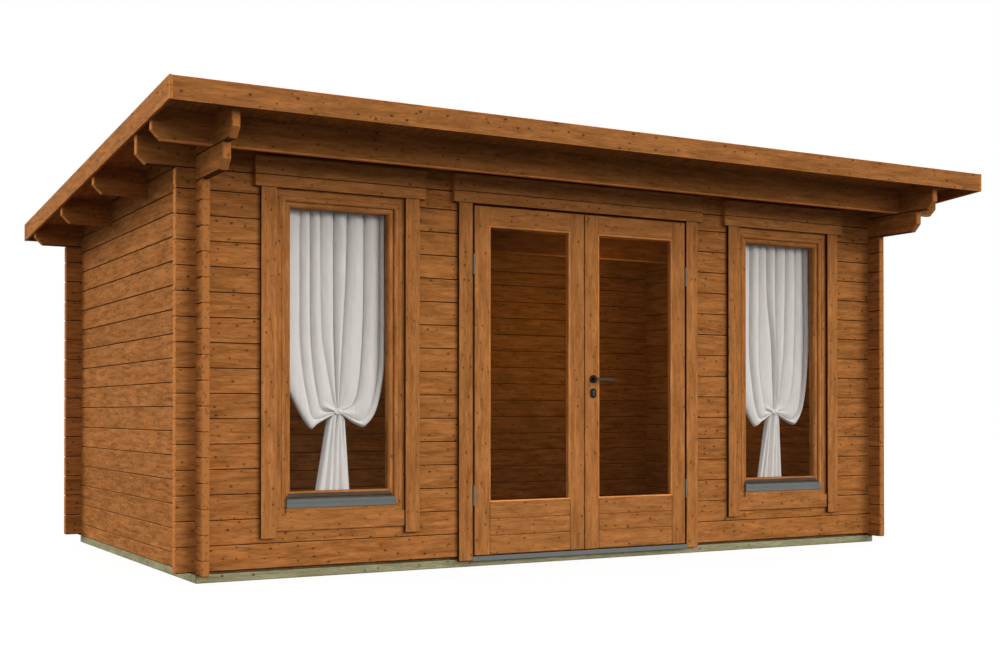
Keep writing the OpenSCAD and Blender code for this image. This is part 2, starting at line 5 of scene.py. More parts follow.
import bmesh
import bpy
import numpy as np
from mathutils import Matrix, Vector


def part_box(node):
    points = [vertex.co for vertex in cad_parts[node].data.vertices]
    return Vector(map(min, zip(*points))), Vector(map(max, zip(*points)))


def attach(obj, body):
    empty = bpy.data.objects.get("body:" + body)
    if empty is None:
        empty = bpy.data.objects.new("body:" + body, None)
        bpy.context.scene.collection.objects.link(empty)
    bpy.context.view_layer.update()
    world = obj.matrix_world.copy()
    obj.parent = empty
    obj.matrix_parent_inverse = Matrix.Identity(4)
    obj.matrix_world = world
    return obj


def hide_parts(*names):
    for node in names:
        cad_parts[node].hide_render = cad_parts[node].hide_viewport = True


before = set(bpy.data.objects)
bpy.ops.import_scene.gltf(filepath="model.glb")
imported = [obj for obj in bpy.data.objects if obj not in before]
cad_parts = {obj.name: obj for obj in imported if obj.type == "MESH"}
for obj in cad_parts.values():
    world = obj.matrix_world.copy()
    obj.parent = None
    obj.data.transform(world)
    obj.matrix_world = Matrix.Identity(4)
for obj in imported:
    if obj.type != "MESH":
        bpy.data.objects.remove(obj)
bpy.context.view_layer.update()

bl_info = {
    "name": "Log Cabin",
    "version": (1, 0, 0),
    "blender": (4, 5, 0),
    "location": "View3D > Sidebar > Log Cabin",
    "description": "Gives a log cabin its logs, boards, joinery, fittings and curtains",
    "category": "Object",
}


def low(node):
    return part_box(node)[0]


def high(node):
    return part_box(node)[1]


# The walls, as the frame has them
HALF_WIDTH = -low("left_wall").x
LOG_THICKNESS = high("left_wall").x - low("left_wall").x
FRONT = low("front_wall_left").y
BACK = high("back_wall").y
LOG_END = FRONT - low("left_wall").y
WALL_FOOT = low("left_wall").z
GABLE = high("left_wall").z
FRONT_PLATE = low("front_plate_log").z
BACK_PLATE = low("back_plate_log").z
DOOR_GAP = high("front_wall_over_door").x
# The roof: its boards, its felt, and the fascias' edges over the boards' underside
DECK_LOW, DECK_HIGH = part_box("roof_deck")
DECK_THICKNESS = low("roof_felt").z - DECK_LOW.z
FELT_THICKNESS = high("roof_felt").z - DECK_HIGH.z
ROOF_FALL = (DECK_HIGH.z - DECK_THICKNESS - DECK_LOW.z) / (DECK_HIGH.y - DECK_LOW.y)
ROOF_LOW, ROOF_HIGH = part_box("side_fascias")
FASCIA_TOP = ROOF_HIGH.z - DECK_LOW.z - ROOF_FALL * (DECK_HIGH.y - ROOF_LOW.y)
FASCIA_FOOT = ROOF_LOW.z - DECK_LOW.z + ROOF_FALL * (ROOF_HIGH.y - DECK_HIGH.y)
# Logs under the roof run up to here before the roof boards' underside cuts them
OVER_ROOF = ROOF_HIGH.z + 0.5
# The windows: the distance of their middles from the door's, and half of each part's width
WINDOW_X = -(low("left_curtain").x + high("left_curtain").x) / 2
CASING_X = high("window_casings").x - WINDOW_X
SASH_X = high("window_sashes").x - WINDOW_X
PANE_X = high("window_glass").x - WINDOW_X
WINDOWS = (-WINDOW_X, WINDOW_X)
# How far a window's trims and sill board lap over its casing
TRIM_LAP = 0.015
# How far a sheet of felt laps over the one below it
FELT_LAP = 0.075
CROSS_BEARERS = 7


def roof_at(y):
    """Height of the roof boards' underside at depth y."""
    return DECK_LOW.z + ROOF_FALL * (DECK_HIGH.y - y)


class CabinTimber(bpy.types.PropertyGroup):
    """Sizes and stains of the logs and boards."""

    log_height: bpy.props.FloatProperty(
        name="Log Height", description="Height of one course of logs",
        default=0.135, min=0.05, unit="LENGTH",
    )
    lowest_log: bpy.props.FloatProperty(
        name="Lowest Log", description="Height of the lowest log of the front and back walls",
        default=0.148, min=0.05, unit="LENGTH",
    )
    joint_width: bpy.props.FloatProperty(
        name="Joint Chamfer", description="Chamfer along each log's lower edges",
        default=0.006, min=0.0, unit="LENGTH",
    )
    end_chamfer: bpy.props.FloatProperty(
        name="End Chamfer", description="Chamfer round the ends of logs and purlins",
        default=0.005, min=0.0, unit="LENGTH",
    )
    nose: bpy.props.FloatProperty(
        name="Corbel Nose", description="Chamfer at the lower corner of corbels and purlins",
        default=0.050, min=0.0, unit="LENGTH",
    )
    roof_board: bpy.props.FloatProperty(
        name="Roof Board", description="Width of a roof board",
        default=0.0915, min=0.03, unit="LENGTH",
    )
    floor_board: bpy.props.FloatProperty(
        name="Floor Board", description="Width of a floor board",
        default=0.0874, min=0.03, unit="LENGTH",
    )
    felt_width: bpy.props.FloatProperty(
        name="Felt Width", description="Width of a sheet of roofing felt less its lap",
        default=0.90, min=0.2, unit="LENGTH",
    )
    wall_stain: bpy.props.FloatVectorProperty(
        name="Wall Stain", description="Colour of the wall logs", subtype="COLOR",
        default=(0.345, 0.125, 0.031), min=0.0, max=1.0,
    )
    trim_stain: bpy.props.FloatVectorProperty(
        name="Trim Stain", description="Colour of the trims, joinery and fascias", subtype="COLOR",
        default=(0.375, 0.140, 0.037), min=0.0, max=1.0,
    )
    bearer_tone: bpy.props.FloatVectorProperty(
        name="Treated Timber", description="Colour of the foundation bearers", subtype="COLOR",
        default=(0.285, 0.258, 0.135), min=0.0, max=1.0,
    )
    felt_tone: bpy.props.FloatVectorProperty(
        name="Roofing Felt", description="Colour of the roofing felt", subtype="COLOR",
        default=(0.055, 0.057, 0.060), min=0.0, max=1.0,
    )


class CabinFittings(bpy.types.PropertyGroup):
    """Sizes and colours of the joinery, glass and metal."""

    easing: bpy.props.FloatProperty(
        name="Easing", description="Rounding of the planed edges",
        default=0.0025, min=0.0005, unit="LENGTH",
    )
    bead: bpy.props.FloatProperty(
        name="Glazing Bead", description="Width of the bead round a door's pane",
        default=0.008, min=0.002, unit="LENGTH",
    )
    zinc_tone: bpy.props.FloatVectorProperty(
        name="Zinc", description="Colour of the flashings, threshold and hinges", subtype="COLOR",
        default=(0.155, 0.162, 0.155), min=0.0, max=1.0,
    )
    iron_tone: bpy.props.FloatVectorProperty(
        name="Black Iron", description="Colour of the lever, its plates and the curtain rods",
        subtype="COLOR", default=(0.012, 0.012, 0.013), min=0.0, max=1.0,
    )


class CabinCurtains(bpy.types.PropertyGroup):
    """Sizes and colour of the tied-up curtains."""

    flat_width: bpy.props.FloatProperty(
        name="Flat Width", description="Width of a curtain laid flat",
        default=0.95, min=0.3, unit="LENGTH",
    )
    flat_length: bpy.props.FloatProperty(
        name="Flat Length", description="Length of a curtain laid flat",
        default=1.70, min=0.3, unit="LENGTH",
    )
    fold_depth: bpy.props.FloatProperty(
        name="Fold Depth", description="Depth of the folds under the rod",
        default=0.044, min=0.0, unit="LENGTH",
    )
    cloth_tone: bpy.props.FloatVectorProperty(
        name="Cloth", description="Colour of the curtains", subtype="COLOR",
        default=(0.83, 0.795, 0.77), min=0.0, max=1.0,
    )


class CabinStage(bpy.types.PropertyGroup):
    """Floor, lamps and camera."""

    floor_size: bpy.props.FloatProperty(
        name="Floor Size", description="Side of the pale floor", default=60.0, unit="LENGTH",
    )
    camera_place: bpy.props.FloatVectorProperty(
        name="Camera Place", description="Where the camera stands", subtype="TRANSLATION",
        default=(-4.574, -8.197, 0.903), unit="LENGTH",
    )
    camera_turn: bpy.props.FloatProperty(
        name="Camera Turn", description="How far the camera turns to the right of straight ahead",
        default=0.5147, unit="ROTATION",
    )
    camera_tilt: bpy.props.FloatProperty(
        name="Camera Tilt", description="How far the camera looks up",
        default=0.009, unit="ROTATION",
    )
    lens: bpy.props.FloatProperty(
        name="Lens", description="Focal length in millimetres", default=49.1, min=10.0,
    )
    rise: bpy.props.FloatProperty(
        name="Rise", description="Upward shift of the lens", default=0.065,
    )
    indoor_power: bpy.props.FloatProperty(
        name="Indoor Light", description="Power of the soft lamp inside the cabin", default=16.0,
        min=0.0, unit="POWER",
    )


class CabinSettings(bpy.types.PropertyGroup):
    """Everything that shapes and colours the cabin."""

    timber: bpy.props.PointerProperty(type=CabinTimber)
    fittings: bpy.props.PointerProperty(type=CabinFittings)
    curtains: bpy.props.PointerProperty(type=CabinCurtains)
    stage: bpy.props.PointerProperty(type=CabinStage)


# Making meshes


def placed(name, data, place=(0, 0, 0), turn=(0, 0, 0)):
    """Puts a mesh, lamp or camera into the scene."""
    made = bpy.data.objects.new(name, data)
    made.location, made.rotation_euler = place, turn
    bpy.context.scene.collection.objects.link(made)
    return made


def cut_corners(points, cut):
    """The outline with each corner cut back by the same length."""
    made = []
    for i, point in enumerate(points):
        here = Vector(point)
        for other in (Vector(points[i - 1]), Vector(points[(i + 1) % len(points)])):
            made.append(tuple(here + (other - here).normalized() * cut))
    return made


def stepped_in(points, steps):
    """The outline with each edge moved inwards by its own step."""
    area = sum(a[0] * b[1] - b[0] * a[1] for a, b in zip(points, points[1:] + points[:1]))
    turn = 1 if area > 0 else -1
    made = []
    for i, point in enumerate(points):
        before, after = points[i - 1], points[(i + 1) % len(points)]
        edges = [
            (Vector(point) - Vector(before)).normalized(),
            (Vector(after) - Vector(point)).normalized(),
        ]
        (ax, ay), (bx, by) = [(-e.y * turn, e.x * turn) for e in edges]
        a, b = steps[i - 1], steps[i]
        cross = ax * by - ay * bx
        if abs(cross) < 1e-6:
            made.append((point[0] + ax * a, point[1] + ay * a))
        else:
            made.append((
                point[0] + (a * by - b * ay) / cross,
                point[1] + (b * ax - a * bx) / cross,
            ))
    return made


def joined(rows, count, closed=True, looped=False):
    """The faces between rows of corners, each row closed into a ring or left open.

    A looped shape has its last row joined to its first.
    """
    faces = []
    for row in range(rows if looped else rows - 1):
        a, b = row * count, (row + 1) % rows * count
        for i in range(count if closed else count - 1):
            j = (i + 1) % count
            faces.append((a + i, a + j, b + j, b + i))
    return faces


class Shape:
    """The corners, faces and finishes of one piece while it is being made."""

    def __init__(self):
        self.corners, self.faces, self.finishes = [], [], []

    def add(self, corners, faces, finishes):
        first = len(self.corners)
        self.corners += [tuple(c) for c in corners]
        self.faces += [tuple(first + i for i in f) for f in faces]
        self.finishes += list(finishes)

    def prism(self, across, start, end, outline, steps, depth, finishes=None, cap=0, roof=False,
              rim=None):
        """An outline run along one axis, its end edges chamfered by each edge's own step.

        The caps have a finish of their own, and so may the chamfers' rims. Under the roof, corners
        stay below the roof boards.
        """
        count = len(outline)
        steps = steps if hasattr(steps, "__len__") else [steps] * count
        finishes = finishes or [0] * count
        rims = finishes if rim is None else [rim] * count
        inner = stepped_in(outline, steps)
        corners = []
        for w, ring in (
            (start, inner), (start + depth, outline), (end - depth, outline), (end, inner),
        ):
            for u, v in ring:
                corner = [u, v]
                corner.insert(across, w)
                if roof:
                    corner[2] = min(corner[2], roof_at(corner[1]))
                corners.append(corner)
        faces = [range(count), range(3 * count, 4 * count), *joined(4, count)]
        self.add(corners, faces, [cap, cap, *rims, *finishes, *rims])

    def board(self, start, end, ease, grain=0, ends=1, edges=0, faces=0):
        """A box with every edge eased, and its own finish on its two ends and two edges."""
        across = [axis for axis in range(3) if axis != grain]
        (u0, v0), (u1, v1) = [[p[axis] for axis in across] for p in (start, end)]
        outline = cut_corners([(u0, v0), (u1, v0), (u1, v1), (u0, v1)], ease)
        finishes = [faces, faces, faces, edges] * 2
        self.prism(grain, start[grain], end[grain], outline, ease, ease, finishes, ends)

    def rail(self, start, end, ease):
        """A board across, all of it in the second finish."""
        self.board(start, end, ease, 0, 1, 1, 1)

    def frame_round(self, x0, x1, z0, z1, profile, foot=1.0, dark_steps=()):
        """A mitred frame, whose lower side is wider by the factor foot.

        The profile is points of inward step and depth. The first two finishes are the uprights'
        and the rails', and the lower rail's dark steps take the third.
        """
        corners = [
            (x, y, z) for step, y in profile for x, z in (
                (x0 + step, z0 + step * foot), (x1 - step, z0 + step * foot),
                (x1 - step, z1 - step), (x0 + step, z1 - step),
            )
        ]
        finishes = [
            2 if side == 0 and step in dark_steps else 1 - side % 2
            for step in range(len(profile)) for side in range(4)
        ]
        self.add(corners, joined(len(profile), 4, looped=True), finishes)

    def piece(self, name, slot, finishes, *nodes, body="cabin", smooth=False):
        """Turns the shape into an object that rides on a body and stands for CAD nodes."""
        mesh = bpy.data.meshes.new(name)
        mesh.from_pydata(self.corners, [], self.faces)
        for each in finishes:
            mesh.materials.append(finish(each))
        mesh.polygons.foreach_set("material_index", self.finishes)
        build = bmesh.new()
        build.from_mesh(mesh)
        if smooth:
            bmesh.ops.remove_doubles(build, verts=build.verts, dist=1e-7)
        bmesh.ops.recalc_face_normals(build, faces=build.faces)
        build.to_mesh(mesh)
        build.free()
        if smooth:
            mesh.polygons.foreach_set("use_smooth", [True] * len(mesh.polygons))
        made = placed(name, mesh)
        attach(made, body)
        for node in nodes:
            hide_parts(node)
        return made


# Making materials


class Nodes:
    """Short ways to add shader nodes to a node tree."""

    def __init__(self, tree):
        self.tree = tree

    def feed(self, socket, value):
        """Links a socket to what feeds it, or sets its value."""
        if isinstance(value, bpy.types.NodeSocket):
            self.tree.links.new(value, socket)
        else:
            socket.default_value = value

    def node(self, kind, inputs=(), **settings):
        made = self.tree.nodes.new("ShaderNode" + kind)
        for key, value in settings.items():
            setattr(made, key, value)
        for key, value in dict(inputs).items():
            self.feed(made.inputs[key], value)
        return made

    def math(self, operation, *values):
        return self.node("Math", enumerate(values), operation=operation).outputs[0]

    def times(self, first, *others):
        """The product of several values."""
        for other in others:
            first = self.math("MULTIPLY", first, other)
        return first

    def vector(self, operation, a, b):
        return self.node("VectorMath", {0: a, 1: b}, operation=operation).outputs[0]

    def triple(self, *values):
        """A vector of up to three values."""
        return self.node("CombineXYZ", enumerate(values)).outputs[0]

    def span(self, value, from_low, from_high, to_low, to_high, smooth=False):
        """A value carried from one range to another."""
        return self.node(
            "MapRange",
            {"Value": value, "From Min": from_low, "From Max": from_high,
             "To Min": to_low, "To Max": to_high},
            interpolation_type="SMOOTHSTEP" if smooth else "LINEAR",
        ).outputs[0]

    def mix(self, factor, a, b, blend="MIX"):
        return self.node(
            "Mix", {0: factor, 6: a, 7: b}, data_type="RGBA", blend_type=blend, clamp_factor=True
        ).outputs[2]

    def noise(self, place, scale, detail=3.0, roughness=0.5, distortion=0.0):
        return self.node(
            "TexNoise",
            {"Vector": place, "Scale": scale, "Detail": detail, "Roughness": roughness,
             "Distortion": distortion},
        ).outputs["Fac"]

    def white_surround(self):
        """1 for the rays that show the white surround: camera, glossy and transmission rays."""
        path = self.node("LightPath").outputs
        value = path["Is Camera Ray"]
        for kind in ("Is Glossy Ray", "Is Transmission Ray"):
            value = self.math("MAXIMUM", value, path[kind])
        return value


class Finish(Nodes):
    """A material while its nodes are being made."""

    def __init__(self, name):
        self.material = bpy.data.materials.new(name)
        self.material.use_nodes = True
        super().__init__(self.material.node_tree)
        self.surface = self.tree.nodes["Principled BSDF"]
        self.texture = self.node("TexCoord").outputs
        self.place = self.texture["Object"]

    def own_place(self, *steps):
        """Each board's own part of the pattern, and a chance value from 0 to 1 for each board."""
        board = self.node("NewGeometry").outputs["Random Per Island"]
        shift = self.triple(*[self.times(board, step) for step in steps])
        return self.vector("ADD", self.place, shift), board

    def set(self, **sockets):
        for key, value in sockets.items():
            key = key.replace("_", " ").title().replace("Ior", "IOR")
            self.feed(self.surface.inputs[key], value)

    def toned(self, colour, *tones):
        """A colour made lighter and darker by the product of several tones."""
        tone = self.times(*tones)
        grey = self.node("CombineColor", {0: tone, 1: tone, 2: tone}).outputs[0]
        return self.mix(1.0, colour, grey, "MULTIPLY")

    def bump(self, height, strength, distance):
        made = self.node("Bump", {"Height": height, "Strength": strength, "Distance": distance})
        self.set(normal=made.outputs[0])


# How much stained timber shines, from 0 to 1
WOOD_SHINE = 0.012
KNOT_BROWN = (0.055, 0.019, 0.006)
# The cells that knots lie in: how many to the metre across the grain, and what share of that
# along it
KNOT_CELLS = 16.5
KNOT_STRETCH = 0.72


def shade(colour, share=1.0):
    """A colour made lighter or darker."""
    return tuple(channel * share for channel in colour)


def rgba(colour, share=1.0):
    return (*[min(1.0, channel) for channel in shade(colour, share)], 1.0)


def stained_wood(name, colour, grain, knots=1.0, contrast=1.0):
    """Planed softwood under a brown stain, its grain along one axis, with small knots."""
    made = Finish(name)
    place, board = made.own_place(37.0, 23.0, 61.0)
    sway = made.node("TexNoise", {"Vector": place, "Scale": 2.2, "Detail": 2.0}).outputs["Color"]
    sway = made.vector("SUBTRACT", sway, (0.5, 0.5, 0.5))
    swayed = made.vector("ADD", place, made.vector("MULTIPLY", sway, (0.03, 0.03, 0.03)))

    def stretched(along, across):
        size = [across] * 3
        size[grain] = along
        return made.vector("MULTIPLY", swayed, tuple(size))

    streaks = made.noise(stretched(4.5, 42.0), 1.0, 6.0, 0.66, 0.5)
    fibres = made.noise(stretched(22.0, 330.0), 1.0, 4.0, 0.65)
    patches = made.noise(stretched(5.0, 11.0), 1.0, 3.0, 0.6)

    # The knots lie in the plane of each face
    length = [0.0, 0.0, 0.0]
    length[grain] = 1.0
    over = made.vector("CROSS_PRODUCT", made.texture["Normal"], tuple(length))
    across = made.node("VectorMath", {0: place, 1: over}, operation="DOT_PRODUCT").outputs["Value"]
    run = made.node("SeparateXYZ", {0: place}).outputs[grain]
    cells = made.node(
        "TexVoronoi",
        {"Vector": made.triple(made.times(run, KNOT_STRETCH), across), "Scale": KNOT_CELLS,
         "Randomness": 1.0},
        voronoi_dimensions="2D",
    ).outputs
    chance = made.node("SeparateColor", {0: cells["Color"]}).outputs[0]
    radius = made.span(chance, 0.15, 1.0, 0.015, 0.030 + 0.062 * knots)
    ratio = made.math("DIVIDE", cells["Distance"], radius)
    knot = made.span(ratio, 0.60, 1.20, 0.88, 0.0, smooth=True)
    halo = made.span(ratio, 1.0, 2.8, 0.7, 0.0, smooth=True)

    warmer = (colour[0] * 1.04, colour[1] * 1.10, min(1.0, colour[2] * 1.25), 1.0)
    stain = made.toned(
        made.mix(made.span(streaks, 0.3, 0.75, 0.0, 1.0), rgba(colour, 0.96), warmer),
        made.span(streaks, 0.28, 0.72, 1.0 - 0.46 * contrast, 1.0 + 0.32 * contrast),
        made.span(fibres, 0.3, 0.7, 0.72, 1.22), made.span(patches, 0.3, 0.7, 0.90, 1.09),
        made.span(board, 0.0, 1.0, 0.93, 1.06), made.span(halo, 0.0, 1.0, 1.0, 0.74),
    )
    made.set(
        base_color=made.mix(knot, stain, rgba(KNOT_BROWN)),
        roughness=made.span(streaks, 0.3, 0.7, 0.74, 0.62), specular_ior_level=WOOD_SHINE,
    )
    fine = made.math("ADD", made.times(fibres, 0.35), made.times(knot, -0.25))
    made.bump(made.math("ADD", made.times(streaks, 0.5), fine), 0.55, 0.0012)
    return made.material


def end_grain(name, colour, grain):
    """The sawn end of a log or board, with its rings and specks."""
    made = Finish(name)
    place, _ = made.own_place(3.1, 5.7, 4.3)
    heart = 0.27
    cell = made.vector("MODULO", place, (heart,) * 3)
    rings = made.node(
        "TexWave",
        {"Vector": made.vector("SUBTRACT", cell, (heart / 2,) * 3), "Scale": 55.0,
         "Distortion": 2.5, "Detail": 2.0, "Detail Scale": 0.6},
        wave_type="RINGS", rings_direction="XYZ"[grain],
    ).outputs["Fac"]
    pores = made.noise(place, 260.0, 2.0, 0.6)
    specks = made.noise(place, 48.0, 2.0, 0.6)
    made.set(
        base_color=made.toned(
            rgba(colour, 1.06), made.span(rings, 0.0, 1.0, 0.84, 1.10),
            made.span(pores, 0.3, 0.7, 0.88, 1.08), made.span(specks, 0.57, 0.66, 1.0, 0.50),
        ),
        roughness=made.span(pores, 0.3, 0.7, 0.60, 0.75), specular_ior_level=WOOD_SHINE,
    )
    made.bump(made.math("ADD", rings, pores), 0.4, 0.0008)
    return made.material


def roofing_felt(name, colour):
    """Bitumen felt with mineral grit."""
    made = Finish(name)
    grit = made.node("TexVoronoi", {"Vector": made.place, "Scale": 420.0}).outputs
    cloud = made.noise(made.place, 2.0, 4.0, 0.6)
    spark = made.node("SeparateColor", {0: grit["Color"]}).outputs[0]
    made.set(
        base_color=made.toned(
            rgba(colour), made.span(spark, 0.0, 1.0, 0.45, 1.9),
            made.span(cloud, 0.3, 0.7, 0.93, 1.07),
        ),
        roughness=made.span(spark, 0.0, 1.0, 0.85, 0.95), specular_ior_level=0.15,
    )
    made.bump(grit["Distance"], 0.8, 0.0015)
    return made.material


def sheet_metal(name, colour, metallic, roughness, grain=None):
    """Zinc or painted iron with fine brushing and slight blotches."""
    made = Finish(name)
    size = [90.0] * 3
    if grain is not None:
        size = [600.0] * 3
        size[grain] = 12.0
    brushed = made.noise(made.vector("MULTIPLY", made.place, tuple(size)), 1.0, 3.0, 0.6)
    cloud = made.noise(made.place, 9.0, 3.0, 0.6)
    made.set(
        base_color=made.toned(
            rgba(colour), made.span(brushed, 0.3, 0.7, 0.93, 1.07),
            made.span(cloud, 0.3, 0.7, 0.88, 1.10),
        ),
        roughness=made.span(cloud, 0.3, 0.7, roughness - 0.06, roughness + 0.08),
        metallic=metallic, specular_ior_level=0.5 if metallic else 0.12,
    )
    made.bump(brushed, 0.25, 0.0003)
    return made.material


def window_pane(name):
    """Clear glass: it lets light straight through and reflects more at a slant."""
    made = Finish(name)
    made.tree.nodes.remove(made.surface)
    waves = made.noise(made.place, 2.5, 1.0)
    bump = made.node("Bump", {"Height": waves, "Strength": 0.08, "Distance": 0.004})
    clear = made.node("BsdfTransparent", {"Color": (0.93, 0.93, 0.925, 1.0)})
    gloss = made.node(
        "BsdfGlossy",
        {"Color": (0.60, 0.60, 0.60, 1.0), "Roughness": 0.02, "Normal": bump.outputs[0]},
    )
    facing = made.node("LayerWeight", {"Blend": 0.5}).outputs["Facing"]
    slant = made.math("MULTIPLY_ADD", made.math("POWER", facing, 5.0), 0.60, 0.0025)
    both = made.node("MixShader", {0: slant, 1: clear.outputs[0], 2: gloss.outputs[0]})
    made.feed(made.tree.nodes["Material Output"].inputs["Surface"], both.outputs[0])
    return made.material


def curtain_cloth(name, colour):
    """Plain woven cotton."""
    made = Finish(name)
    warp, weft = [
        made.node(
            "TexWave", {"Vector": made.place, "Scale": 260.0, "Distortion": 1.5},
            wave_type="BANDS", bands_direction=way,
        ).outputs["Fac"]
        for way in "XZ"
    ]
    weave = made.math("ADD", warp, weft)
    slub = made.noise(made.vector("MULTIPLY", made.place, (60.0, 60.0, 9.0)), 1.0, 3.0)
    made.set(
        base_color=made.toned(
            rgba(colour), made.span(slub, 0.3, 0.7, 0.95, 1.04),
            made.span(weave, 0.0, 2.0, 0.96, 1.02),
        ),
        roughness=made.span(weave, 0.0, 2.0, 0.95, 0.85), sheen_weight=0.25, sheen_roughness=0.5,
        specular_ior_level=0.2,
    )
    made.bump(weave, 0.3, 0.0004)
    return made.material


FINISHES = {}


def finish(name):
    """A finish of the cabin, made when it is first asked for."""
    if name not in FINISHES:
        FINISHES[name] = single_finish(name) or grained_finish(name)
    return FINISHES[name]


def single_finish(name):
    """A finish without a grain, or None."""
    settings = bpy.context.scene.log_cabin
    zinc, iron = settings.fittings.zinc_tone, settings.fittings.iron_tone
    makers = {
        "felt": lambda: roofing_felt(name, settings.timber.felt_tone),
        "zinc": lambda: sheet_metal(name, zinc, 1.0, 0.42),
        "flashing": lambda: sheet_metal(name, zinc, 0.7, 0.5, 0),
        "lock": lambda: sheet_metal(name, shade(zinc, 0.5), 1.0, 0.3),
        "iron": lambda: sheet_metal(name, iron, 0.0, 0.38),
        "glass": lambda: window_pane(name),
        "cloth": lambda: curtain_cloth(name, settings.curtains.cloth_tone),
    }
    return makers[name]() if name in makers else None


def grained_finish(name):
    """A timber finish, whose name ends in the axis of its grain."""
    timber = bpy.context.scene.log_cabin.timber
    wall, trim, bearer = timber.wall_stain, timber.trim_stain, timber.bearer_tone
    kind, axis = name.rsplit("_", 1)
    grain = "xyz".index(axis)
    if kind == "wall_end":
        # End grain in the trim stain; the ends of pieces whose grain runs along x, which face
        # sideways, are lightened further as painted highlight
        return end_grain(name, shade(trim, (1.3, 1.0, 1.0)[grain]), grain)
    if kind == "bearer_end":
        return end_grain(name, bearer, grain)
    # The colour, how many knots and how strong the grain
    colour, knots, contrast = {
        "wall_log": (wall, 1.0, 1.0),
        # Painted shade: lower chamfers of logs and plates, darkened to stand for the shadow line at
        # each joint
        "joint": (shade(wall, 0.22), 0.0, 0.6),
        # Painted highlight: eased fascia edges and the eaves purlin's lower edge, lightened where
        # light catches them
        "arris": (shade(wall, 2.2), 0.0, 0.6),
        # Painted highlight: the logs' upper chamfers, lightened where light catches them
        "log_crest": (shade(wall, 1.7), 0.0, 0.6),
        "roof_log": (wall, 0.8, 0.9),
        "roof_board": (shade(wall, 0.9), 1.0, 1.0),
        "floor_board": ((0.42, 0.24, 0.11), 1.0, 0.9),
        "trim": (trim, 0.8, 0.8),
        "bead": (shade(trim, 2.0), 0.0, 0.6),
        # Painted shade: side edges of trims and the head boards' undersides and seams
        "trim_edge": (shade(trim, 0.14), 0.0, 0.6),
        # Painted shade: front and back fascias (grain along x) darker than the side fascias
        "fascia": (shade(trim, 0.8 if grain == 0 else 1.0), 1.2, 0.8),
        "joinery": (trim, 0.8, 0.8),
        "sash_foot": ((0.095, 0.062, 0.040), 0.0, 0.5),
        "bearer": (bearer, 1.0, 0.7),
    }[kind]
    return stained_wood(name, colour, grain, knots, contrast)


def coat(name, slot, *nodes):
    """Gives CAD nodes their finish."""
    for node in nodes:
        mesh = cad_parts[node].data
        mesh.materials.clear()
        mesh.materials.append(finish(name))


def ease_node(node, width, segments=2):
    """Rounds the sharp edges of a CAD node that is shown."""
    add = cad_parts[node].modifiers.new
    add("Weld", "WELD").merge_threshold = 1e-5
    flat = add("Flat faces", "DECIMATE")
    flat.decimate_type = "DISSOLVE"
    flat.angle_limit = math.radians(0.5)
    round_off = add("Easing", "BEVEL")
    round_off.width = width
    round_off.segments = segments
    round_off.limit_method = "ANGLE"
    round_off.angle_limit = math.radians(35)


# Laying logs


# Heights closer than this are the same, and a strip of log lower than this is left out
TOUCH, LEAST_STRIP = 1e-6, 0.003


def log_outlines(u0, u1, z0, z1, cuts):
    """The outlines that are left of a log's long side after rectangular cuts into its edges."""
    stops = sorted({u0, u1, *(u for cut in cuts for u in cut[:2] if u0 < u < u1)})
    runs, run = [], []
    for a, b in zip(stops, stops[1:]):
        foot, top = z0, z1
        for cu0, cu1, cz0, cz1 in cuts:
            if cu0 < (a + b) / 2 < cu1 and cz0 < top and cz1 > foot:
                if cz0 <= foot + TOUCH:
                    foot = cz1
                elif cz1 >= top - TOUCH:
                    top = cz0
        if top - foot > LEAST_STRIP:
            run.append((a, b, foot, top))
        elif run:
            runs.append(run)
            run = []
    if run:
        runs.append(run)
    outlines = []
    for run in runs:
        points = [p for a, b, foot, _ in run for p in ((a, foot), (b, foot))]
        points += [p for a, b, _, top in reversed(run) for p in ((b, top), (a, top))]
        outlines.append([p for i, p in enumerate(points) if p != points[i - 1]])
    return outlines


# The chamfer along a log's upper edge, as a share of the one along its lower edge
TOP_CHAMFER = 0.35


def lay_log(shape, across, start, u0, u1, z0, z1, cuts=(), noses=()):
    """One log with its face at start, chamfered along its joints and round its ends.

    Its finishes are for its faces, its ends, its lower edges and its upper edges. A nose is an
    end whose lower corner has the deeper cut of a corbel.
    """
    timber = bpy.context.scene.log_cabin.timber
    joint, end = timber.joint_width, timber.end_chamfer
    for outline in log_outlines(u0, u1, z0, z1, cuts):
        for u, z in ((u0, z0), (u1, z0), (u1, z1), (u0, z1)):
            if (u, z) in outline:
                i = outline.index((u, z))
                cut = timber.nose if z == z0 and u in noses else joint
                pair = [(u, z + (cut if z == z0 else -cut)), (u + (cut if u == u0 else -cut), z)]
                forward = (u == u0) == (z == z0)
                outline[i:i + 1] = pair if forward else pair[::-1]
        # Lower edges take the third finish and upper edges the fourth, which for wall logs paint
        # shade and a highlight
        steps, kinds = [], []
        for a, b in zip(outline, outline[1:] + outline[:1]):
            if a[1] == b[1] == z0:
                step, kind = joint, 2
            elif a[1] == b[1] == z1:
                step, kind = joint * TOP_CHAMFER, 3
            elif {u0, u1} & {a[0], b[0]}:
                step, kind = end, 1
            else:
                step, kind = 0.0, 0
            steps.append(step)
            kinds.append(kind)
        shape.prism(across, start, start + LOG_THICKNESS, outline, steps, joint, kinds, roof=True)


def courses(first, top):
    """Each course's foot and top, and the part of it that fills the crossings."""
    height = bpy.context.scene.log_cabin.timber.log_height
    z = first
    while z < top - LEAST_STRIP:
        yield max(z, WALL_FOOT), min(z + height, top), z + height / 4, z + height * 3 / 4
        z += height


def crossing_cuts(u0, u1, z0, z1, fill_low, fill_high):
    """What a log loses where another wall's logs pass through it."""
    cuts = []
    if fill_low > z0:
        cuts.append((u0, u1, z0, fill_low))
    if fill_high < z1:
        cuts.append((u0, u1, fill_high, z1))
    return cuts


